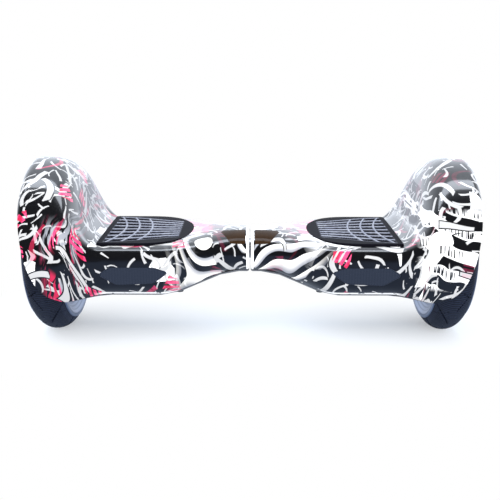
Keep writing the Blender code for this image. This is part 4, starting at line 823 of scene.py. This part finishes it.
def skin_mesh(name, stations, turns):
    """The outer skin as a grid, with its lengths along both ways as the print's map."""
    rows = [[skin_point(x, turn) for turn in turns] for x in stations]
    mesh = grid_mesh(name, rows)
    middle = min(range(len(turns)), key=lambda j: abs(turns[j]))
    along = [[0.0] * len(turns)]
    for a, b in zip(rows, rows[1:]):
        along.append([u + (q - p).length for u, p, q in zip(along[-1], a, b)])
    around = []
    for row in rows:
        lengths = [0.0]
        for p, q in zip(row, row[1:]):
            lengths.append(lengths[-1] + (q - p).length)
        around.append([length - lengths[middle] for length in lengths])
    layer = mesh.uv_layers.new(name="print")
    width = len(turns)
    for loop in mesh.loops:
        i, j = divmod(loop.vertex_index, width)
        layer.data[loop.index].uv = (along[i][j], around[i][j])
    return mesh


def shift_print(mesh, side):
    """Gives the left half another part of the print."""
    if SIDES[side] < 0:
        for item in mesh.uv_layers["print"].data:
            item.uv = [a + b for a, b in zip(item.uv, LEFT_PRINT_SHIFT)]


def wall(obj):
    """Thickens a skin inwards. The inside and the edges take its last material."""
    modifier = obj.modifiers.new("wall", "SOLIDIFY")
    modifier.thickness = SHELL_WALL
    modifier.offset = -1
    modifier.material_offset = modifier.material_offset_rim = len(obj.data.materials) - 1
    bake(obj)


def window_matrix():
    """Lays an outline's plane on the waist, leaning forward."""
    lean = radians(WINDOW_TILT)
    middle = Vector((0, -NECK_HALF_DEPTH * sin(lean), NECK_HEIGHT))
    middle.z += NECK_HALF_HEIGHT * cos(lean)
    return Matrix.Translation(middle) @ Matrix.Rotation(lean, 4, "X")


def mat_edge(grow=0.0):
    """Half of the mat's plan, from its nose to its outer corner."""
    steps = 24
    nose, outer = MAT_INNER - grow, MAT_OUTER + grow
    wide = MAT_HALF_DEPTH + grow
    shoulder = mix(MAT_INNER, MAT_OUTER, 0.62)
    corner = 5 * MM
    side = []
    for i in range(steps + 1):
        angle = radians(90 * i / steps)
        along = (shoulder - nose) * sin(angle) ** 0.8
        side.append((shoulder - along, wide * (1 - (1 - cos(angle)) ** 1.15)))
    round_corner = []
    for i in range(5):
        angle = radians(90 * i / 4)
        reach = corner * (1 - sin(angle)), corner * (1 - cos(angle))
        round_corner.append((outer - reach[1], wide - reach[0]))
    return side[::-1] + round_corner[::-1]


def mat_outline(grow):
    half = mat_edge(grow)
    return half + [(x, -y) for x, y in reversed(half[1:])]


def lens_outline(grow=0.0):
    inner, outer = LENS_INNER - grow, LENS_OUTER + grow
    low, high = LENS_LOW - grow, LENS_HIGH + grow
    rise, run = high - low, outer - inner
    return rounded(
        (inner, low + 0.72 * rise, 3 * MM),
        (inner + 0.22 * run, low + 0.1 * rise, 12 * MM),
        (inner + 0.74 * run, low, 14 * MM),
        (outer, low + 0.62 * rise, 4 * MM),
        (outer - 0.18 * run, high, 6 * MM),
        (inner + 0.2 * run, high, 8 * MM),
    )


def window_outline(grow=0.0):
    inner, outer = WINDOW_INNER - grow, WINDOW_OUTER + grow
    half = WINDOW_HALF + grow
    run = outer - inner
    return rounded(
        (inner, -half, 2.5 * MM),
        (inner + 0.62 * run, -half, 3 * MM),
        (outer, 0.35 * half, 3 * MM),
        (outer - 0.08 * run, 0.8 * half, 3 * MM),
        (inner, half, 2.5 * MM),
    )


def edge_sweep():
    """Outline of what the arch lacks, seen from the front."""
    start, end = WELL_WALL + 2 * MM, FENDER_OUTER + 2 * MM
    points = []
    for i in range(41):
        t = i / 40
        climb = 0.12 * t + 0.88 * t**4
        points.append((mix(start, end, t), mix(FENDER_EDGE_LOW, FENDER_EDGE_HIGH, climb)))
    low = FENDER_EDGE_LOW - 20 * MM
    return [*points, (end, low), (start, low)]


def upper_shell(side, materials):
    turns = crown_turns()
    turns = [*reversed(turns[1:]), 0, *(-t for t in turns[1:])]
    mesh = skin_mesh("upper_shell", skin_stations(), turns)
    shell = new_object(f"printed_cover_{side}", mesh, materials["printed_shell"])
    mesh.materials.append(materials["black_plastic"])
    wall(shell)
    cutters = [
        prism(edge_sweep(), 3 * FENDER_RADIUS, upright()),
        prism(mat_outline(MAT_GAP), 30 * MM, Matrix.Translation((0, 0, DECK_HEIGHT))),
        prism(lens_outline(CLEARANCE), CUT_DEPTH, upright(-BODY_HALF_DEPTH)),
        prism(window_outline(CLEARANCE), CUT_DEPTH, window_matrix()),
    ]
    if side == "right":
        for x, radius in ((BUTTON_X, BUTTON_RADIUS), (SOCKET_X, SOCKET_RADIUS)):
            outline = circle(x, BULGE_HEIGHT, radius + CLEARANCE)
            cutters.append(prism(outline, 18 * MM, upright(BODY_HALF_DEPTH)))
    carve(shell, cutters)
    to_side(shell, side)
    shift_print(shell.data, side)
    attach(shell, f"{side}_half")
    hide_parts(f"upper_shell_{side}")


def skin_piece(name, side, node, patch, cutter, material):
    """A lens or window cut from the shell's own skin."""
    piece = new_object(name, patch, material)
    wall(piece)
    carve(piece, [cutter], "INTERSECT")
    to_side(piece, side)
    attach(piece, f"{side}_half")
    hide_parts(node)


def lamp(side, materials):
    stations = spread(LENS_INNER - PATCH_MARGIN, LENS_OUTER + PATCH_MARGIN, 4 * MM)
    turns = [-t for t in range(62, 121, 3)]
    patch = skin_mesh("lens", [*stations, LENS_OUTER + PATCH_MARGIN], turns)
    cutter = prism(lens_outline(), CUT_DEPTH, upright(-BODY_HALF_DEPTH))
    node = f"lamp_lens_{side}"
    skin_piece(f"lamp_cover_{side}", side, node, patch, cutter, materials["smoked_lens"])


def indicator(side, materials):
    end = WINDOW_OUTER + PATCH_MARGIN
    stations = [*spread(HALF_GAP / 2 + END_ROLL, end, 3 * MM), end]
    patch = skin_mesh("window", stations, [10 - 4 * i for i in range(26)])
    cutter = prism(window_outline(), CUT_DEPTH, window_matrix())
    node = f"indicator_window_{side}"
    skin_piece(f"indicator_cover_{side}", side, node, patch, cutter, materials["amber_window"])


# ---- foot mats ----


def mat_relief(x, y, edge):
    """(height, share of rib) of the mat's top: slots that fan out towards the wheel,
    broken by three curved ribs, and a rounded edge."""
    reach = (x - MAT_INNER) / (MAT_OUTER - MAT_INNER)
    fan = MAT_HALF_DEPTH * mix(*MAT_FAN, smooth(x, MAT_INNER - 20 * MM, MAT_OUTER))
    lane = (y / fan + 1) / 2 * MAT_SLOTS
    across = abs(lane - floor(lane) - 0.5)
    wide = mix(*MAT_SLOT_SHARE, smooth(reach, 0.1, 0.75))
    ribbed = smooth(reach, 0.13, 0.15) * (1 - smooth(reach, 0.93, 0.94))
    ribbed *= 1 - smooth(abs(lane - MAT_SLOTS / 2), MAT_SLOTS / 2 - 0.1, MAT_SLOTS / 2 + 0.05)
    slot = (1 - smooth(across, wide - 0.035, wide + 0.035)) * ribbed
    bend = MAT_RIB_BEND * (2 * y / MAT_HALF_DEPTH) ** 2
    for k in range(MAT_RIBS):
        middle = MAT_OUTER - MAT_RIB_START - MAT_RIB_PITCH * k + bend
        slot *= smooth(abs(x - middle), 1.1 * MM, 1.9 * MM)
    lip = min(1.0, max(0.0, edge / MAT_EDGE_ROUND))
    drop = MAT_EDGE_ROUND * (1 - sqrt(1 - (1 - lip) ** 2))
    return MAT_TOP - MAT_SLOT_DEPTH * slot - drop, ribbed * (1 - smooth(slot, 0.05, 0.6))


def mat_width(half, x):
    """Half of the mat's width at x, read off half of its plan."""
    for (x0, y0), (x1, y1) in zip(half, half[1:]):
        if x <= x1:
            return mix(y0, y1, (x - x0) / max(1e-9, x1 - x0))
    return half[-1][1]


def mat_stations():
    """Places along the mat, close together at its nose and its outer edge."""
    nose, turn = 3.2 * MM, 1.6 * MM
    rows = [MAT_INNER + 0.4 * MM * (1 - cos(i * pi / 8)) ** 2 for i in range(8)]
    rows += spread(MAT_INNER + nose, MAT_OUTER - turn, 0.75 * MM)
    return rows + [MAT_OUTER - turn * (1 - sin(i * pi / 10)) for i in range(6)]


def foot_mat(side, materials):
    """Ribbed rubber mat as a fine height field inside its plan."""
    half = mat_edge()
    rows, ribs = [], []
    for x in mat_stations():
        wide = max(0.6 * MM, mat_width(half, x))
        row = []
        for j in range(MAT_COLUMNS + 1):
            share = sin((j / MAT_COLUMNS - 0.5) * pi / 2) / sin(pi / 4)
            y = share * wide
            edge = min(wide - abs(y), MAT_OUTER - x, 1.2 * (x - MAT_INNER))
            height, rib = mat_relief(x, y, edge)
            row.append((x, y, height))
            ribs.append(rib)
        rows.append(row)
    mesh = grid_mesh("foot_mat", rows, flip=True)
    mesh.attributes.new("rib", "FLOAT", "POINT").data.foreach_set("value", ribs)
    mat = new_object(f"ribbed_mat_{side}", mesh, materials["rubber_mat"])
    bm = bmesh.new()
    bm.from_mesh(mesh)
    rim = [edge for edge in bm.edges if edge.is_boundary]
    skirt = bmesh.ops.extrude_edge_only(bm, edges=rim)["geom"]
    for part in skirt:
        if isinstance(part, bmesh.types.BMVert):
            part.co.z = MAT_TOP - MAT_THICKNESS
    bmesh.ops.contextual_create(bm, geom=[e for e in skirt if isinstance(e, bmesh.types.BMEdge)])
    bmesh.ops.recalc_face_normals(bm, faces=bm.faces)
    bm.to_mesh(mesh)
    bm.free()
    smooth_shade(mesh, 50)
    to_side(mat, side)
    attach(mat, f"mat_{side}")
    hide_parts(f"foot_mat_{side}")


# ---- wheels ----


def rim(side, materials):
    """Rim, disc, drum and bearing boss, with cast rings on the inner face."""
    half = RIM_WIDTH / 2
    face = WEB_DEPTH - half
    back = face + WEB_THICKNESS
    boss = BEARING_SEAT + BEARING_WALL
    boss_end = -STATOR_HALF - CLEARANCE
    mouth = boss_end - BEARING_WIDTH - 2 * CLEARANCE
    barrel = RIM_SEAT_RADIUS - RIM_WALL
    outline = [
        (mouth, BEARING_SEAT, 0.3),
        (boss_end, BEARING_SEAT, 0),
        (boss_end, boss, 0),
        (back, boss + 4 * MM, 0),
        (back, DRUM_BORE, 0),
        (DRUM_HALF_LENGTH, DRUM_BORE, 0),
        (DRUM_HALF_LENGTH, DRUM_RADIUS, 0.5),
        (back, DRUM_RADIUS, 1.0),
        (back, barrel, 1.0),
        (half, barrel, 0.6),
        (half, RIM_FLANGE_RADIUS, 1.2),
        (half - FLANGE_WIDTH, RIM_FLANGE_RADIUS, 1.0),
        (half - FLANGE_WIDTH, RIM_SEAT_RADIUS, 0),
        (FLANGE_WIDTH - half, RIM_SEAT_RADIUS, 0),
        (FLANGE_WIDTH - half, RIM_FLANGE_RADIUS, 1.0),
        (-half, RIM_FLANGE_RADIUS, 1.2),
        (-half, RIM_FLANGE_RADIUS - 6 * MM, 1.0),
        (face, barrel - 6 * MM, 2.0),
    ]
    # The disc's face steps between its rings towards the bearing's boss.
    for radius, depth in ((84, 0.0), (83, 1.0), (72, 1.0), (71, 0.0), (52, -0.8), (51, -2.0)):
        outline.append((face + depth * MM, radius * MM, 0.3))
    outline += [(face - 2 * MM, 33 * MM, 1.5), (mouth, boss, 0.8)]
    piece = lathe(f"cast_rim_{side}", outline, materials["rim_alloy"])
    radius = barrel - VALVE_POCKET_INSET
    angle = radians(VALVE_POCKET_ANGLE)
    place = (radius * cos(angle), AXLE_HEIGHT + radius * sin(angle))
    pocket = circle(*place, VALVE_POCKET_RADIUS, 24)
    carve(piece, [prism(pocket, 12 * MM, sideways(WHEEL_OFFSET + face))])
    return piece, f"rim_{side}", "rim_alloy"


def groove_depth(angle, along):
    """Depth of the tread at a turn and a distance along the axle: main grooves that
    sweep from the crown to the shoulder, thin ones that cross between them, and short
    notches on both sides of the crown."""
    side = 1 if along >= 0 else -1
    share = (abs(along) - GROOVE_START) / (GROOVE_END - GROOVE_START)
    pitch = tau / TREAD_GROOVES
    start = angle / pitch - 0.5 + 0.25 * side
    swept = start - GROOVE_LEAN * max(0.0, share) ** GROOVE_SWEEP / pitch
    away = abs(swept - round(swept)) * pitch * TYRE_RADIUS
    half = GROOVE_WIDTH / 2
    main = 1 - smooth(away, half - 0.5 * MM, half + 0.3 * MM)
    main *= smooth(share, -0.03, 0.02) * (1 - smooth(share, 0.98, 1.04))
    back = start + 0.5 + 0.19 * max(0.0, share) ** 1.3 / pitch
    away = abs(back - round(back)) * pitch * TYRE_RADIUS
    thin = (1 - smooth(away, 0.5 * MM, 1.2 * MM)) * smooth(share, 0.08, 0.14)
    thin *= 1 - smooth(share, 0.92, 1.0)
    notched = 2 * start + 0.5
    away = abs(notched - round(notched)) * pitch / 2 * TYRE_RADIUS
    notch = (1 - smooth(away, 1.6 * MM, 2.4 * MM)) * smooth(share, 0.02, 0.06)
    notch *= 1 - smooth(share, 0.14, 0.2)
    return max(GROOVE_DEPTH * main, THIN_GROOVE_DEPTH * thin, NOTCH_DEPTH * notch)


def tyre_section(angle):
    """(along, radius) round the tyre's section at a turn, from bead to bead and back."""
    centre = TYRE_RADIUS - TREAD_BULGE
    top = RIM_FLANGE_RADIUS + CLEARANCE
    limit = acos((top - centre) / TREAD_BULGE)
    bead = RIM_WIDTH / 2 - FLANGE_WIDTH - CLEARANCE
    low = RIM_SEAT_RADIUS + CLEARANCE
    section = [(bead, low), (bead, top)]
    for j in range(TREAD_COLUMNS + 1):
        a = limit * (1 - 2 * j / TREAD_COLUMNS)
        dig = groove_depth(angle, TREAD_HALF_WIDTH * sin(a))
        x = (TREAD_HALF_WIDTH - 0.9 * dig * abs(sin(a))) * sin(a)
        section.append((x, centre + (TREAD_BULGE - dig) * cos(a)))
    return [*section, (-bead, top), (-bead, low)]


def tyre(side, materials):
    """Oval section between the rim's flanges, with its tread cut in."""
    sections = [tyre_section(tau * i / TREAD_STEPS) for i in range(TREAD_STEPS)]
    mesh = ring_mesh("tyre", sections, flip=True)
    smooth_shade(mesh, 40)
    piece = new_object(f"grooved_tyre_{side}", mesh, materials["tyre_rubber"])
    return piece, f"tyre_{side}", "tyre_rubber"


def motor_cover(side, materials):
    """Dished cover over the open side of the drum, with a ring pressed into it."""
    face = DRUM_HALF_LENGTH + CLEARANCE
    boss = BEARING_SEAT + BEARING_WALL
    start = STATOR_HALF + CLEARANCE
    end = start + BEARING_WIDTH + 2 * CLEARANCE
    outline = [
        (start, BEARING_SEAT, 0),
        (end, BEARING_SEAT, 0.4),
        (end, boss, 1.0),
        (face + 4 * MM, boss + 3 * MM, 1.5),
        (face + 4 * MM, 40 * MM, 0.5),
        (face + 3 * MM, 41 * MM, 0.5),
        (face + 3 * MM, 52 * MM, 0.5),
        (face + 4 * MM, 53 * MM, 0.5),
        (face + 4 * MM, DRUM_RADIUS - 2 * MM, 1.0),
        (face + 2 * MM, DRUM_RADIUS, 0.5),
        (face, DRUM_RADIUS, 0),
        (face, boss, 0),
        (start, boss, 0),
    ]
    piece = lathe(f"drum_cover_{side}", outline, materials["rim_alloy"])
    return piece, f"motor_cover_{side}", "rim_alloy"


def hub_cap(side, materials):
    """Five-spoke cap over the outer face."""
    edge = RIM_WIDTH / 2
    crown = edge + 2.2 * MM
    dish = edge - 2 * MM
    inner = 0.75 * HUB_CAP_RADIUS
    outline = [
        (crown, 0.2 * MM, 0),
        (crown, 20 * MM, 1.5),
        (crown - 1.5 * MM, 30 * MM, 3),
        (dish + 0.5 * MM, inner, 3),
        (edge, HUB_CAP_RADIUS - 4 * MM, 1.5),
        (edge - 2 * MM, HUB_CAP_RADIUS, 0.8),
        (dish - HUB_CAP_WALL, inner, 1),
        (crown - 1.5 * MM - HUB_CAP_WALL, 30 * MM, 1),
        (crown - HUB_CAP_WALL, 20 * MM, 1),
        (crown - HUB_CAP_WALL, 0.2 * MM, 0),
    ]
    piece = lathe(f"spoked_cap_{side}", outline, materials["rim_alloy"])
    near, far = 0.42 * HUB_CAP_RADIUS, 0.86 * HUB_CAP_RADIUS
    half = pi / HUB_CAP_SPOKES
    narrow, wide = sin(0.5 * half) * near, sin(0.66 * half) * far
    gap = rounded(
        (-narrow, near, 4 * MM),
        (narrow, near, 4 * MM),
        (wide, 0.93 * far, 7 * MM),
        (0, far, 30 * MM),
        (-wide, 0.93 * far, 7 * MM),
    )
    middle = Matrix.Translation(WHEEL_MIDDLE)
    turns = [Matrix.Rotation(tau * i / HUB_CAP_SPOKES, 4, "X") for i in range(HUB_CAP_SPOKES)]
    carve(piece, [prism(gap, CUT_DEPTH, middle @ turn @ sideways(edge)) for turn in turns])
    return piece, f"hub_cap_{side}", "rim_alloy"


def wheel(side, materials):
    for make in (rim, tyre, motor_cover, hub_cap):
        piece, node, slot = make(side, materials)
        to_side(piece, side)
        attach(piece, f"wheel_{side}")
        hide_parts(node)


# ---- the setting ----


def camera():
    data = bpy.data.cameras.new("camera")
    data.sensor_width = VIEW_SENSOR
    data.lens = VIEW_LENS
    data.clip_end = VIEW_FAR
    tilt = radians(VIEW_TILT)
    obj = bpy.data.objects.new("camera", data)
    away, rise = VIEW_DISTANCE * cos(tilt), VIEW_DISTANCE * sin(tilt)
    obj.location = (0, -away, VIEW_HEIGHT + rise)
    turn = Matrix.Rotation(pi / 2 - tilt, 4, "X")
    roll = Matrix.Rotation(radians(VIEW_ROLL), 4, "Z")
    obj.rotation_euler = (turn @ roll).to_euler()
    bpy.context.scene.collection.objects.link(obj)
    bpy.context.scene.camera = obj


def lamp_panel(name, place, size, power):
    """A soft lamp that lights the board but isn't seen in its lacquer."""
    data = bpy.data.lights.new(name, "AREA")
    data.shape = "RECTANGLE"
    data.size, data.size_y = size
    data.energy = power
    obj = bpy.data.objects.new(name, data)
    obj.location = place
    aim = Vector(LAMP_TARGET) - Vector(place)
    obj.rotation_euler = aim.to_track_quat("-Z", "Y").to_euler()
    obj.visible_glossy = False
    bpy.context.scene.collection.objects.link(obj)


def world():
    """Even pale light that the camera sees as plain white. Reflections see a dim room in
    front, a bright backdrop behind and a strip light overhead."""
    g = Graph(bpy.data.worlds.new("studio"))
    bpy.context.scene.world = g.owner
    way = g.split(g.node("ShaderNodeTexCoord").outputs["Generated"])
    behind = g.scaled(way["Z"], 0.2, way["Y"])
    back = g.step(behind, 0.0, 0.8, ROOM_GLOW, BACKDROP_GLOW)
    across = g.math("ABSOLUTE", g.math("SUBTRACT", way["Y"], 0.12))
    strip = g.step(across, 0.16, 0.10, 0.0, STRIP_GLOW)
    glow = g.scaled(strip, g.math("GREATER_THAN", way["Z"], 0.8), back)

    light = g.tree.nodes["Background"]
    g.feed(light.inputs["Color"], (0.93, 0.96, 1.0, 1))
    g.feed(light.inputs["Strength"], SKY_LIGHT)
    mirrored = g.node("ShaderNodeBackground", {"Color": (0.84, 0.9, 1.0, 1), "Strength": glow})
    seen = g.node("ShaderNodeBackground", {"Color": (1, 1, 1, 1)}).outputs[0]
    shader = g.blend(g.light_path("Is Glossy Ray"), light.outputs[0], mirrored.outputs[0])
    shader = g.blend(g.light_path("Is Camera Ray"), shader, seen)
    shader = g.blend(g.light_path("Is Transmission Ray"), shader, seen)
    g.feed(g.tree.nodes["World Output"].inputs["Surface"], shader)


def white_floor():
    """White floor that shows a shadow only under the board and near the wheels. In
    reflections it is blue under the board, dim in front and bright behind."""
    g = MaterialGraph("floor")
    x, y = g.split(g.place())[:2]
    outside = g.math("MAXIMUM", g.past(x, WHEEL_OFFSET), 0.0)
    away = g.math("SQRT", g.scaled(outside, outside, g.times(y, y)))
    g.finish(Base_Color=(0.8, 0.89, 1.0, 1), Roughness=0.6, Specular_IOR_Level=0.2)
    far = g.step(g.vector("LENGTH", g.vector("ADD", g.place(), (0, 0.3, 0))), 0.42, 0.66)
    mirrored = g.mix(far, (0.27, 0.37, 0.6, 1), (0.035, 0.04, 0.055, 1))
    mirrored = g.mix(g.step(y, -0.02, 0.12), mirrored, (0.9, 0.96, 1.1, 1))
    colour = g.mix(g.light_path("Is Glossy Ray"), (1, 1, 1, 1), mirrored)
    glow = g.node("ShaderNodeEmission", {"Color": colour, "Strength": 1.0})
    shader = g.blend(g.step(away, -0.12, 0.2), g.shader.outputs[0], glow.outputs[0])
    g.feed(g.tree.nodes["Material Output"].inputs["Surface"], shader)
    bm = bmesh.new()
    bmesh.ops.create_circle(bm, cap_ends=True, segments=64, radius=FLOOR_RADIUS)
    mesh = bpy.data.meshes.new("floor")
    bm.to_mesh(mesh)
    bm.free()
    new_object("floor", mesh, g.owner)


def main():
    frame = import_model()
    bpy.context.scene.view_settings.view_transform = "Standard"
    camera()
    world()
    white_floor()
    for name, lamp_form in LAMPS.items():
        lamp_panel(name, *lamp_form)

    materials = {
        "printed_shell": print_material(),
        "black_plastic": plastic_material("black_plastic", (0.02, 0.02, 0.023), 0.42, 0.12),
        "rubber_mat": mat_material(),
        "tyre_rubber": tyre_material(),
        **{name: metal_material(name, *look) for name, look in METALS.items()},
        "smoked_lens": lens_material(),
        "amber_window": window_material(),
        "circuit_board": board_material(),
        "battery_wrap": plastic_material("battery_wrap", (0.03, 0.1, 0.34), 0.4, 0.05),
    }
    slots = {entry["node"]: entry["material_slot"] for entry in frame["record"]["subparts"]}
    for node, obj in frame["nodes"].items():
        for entry in obj.material_slots:
            entry.material = materials[slots[node]]

    for side in SIDES:
        upper_shell(side, materials)
        lamp(side, materials)
        indicator(side, materials)
        foot_mat(side, materials)
        wheel(side, materials)

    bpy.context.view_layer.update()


main()
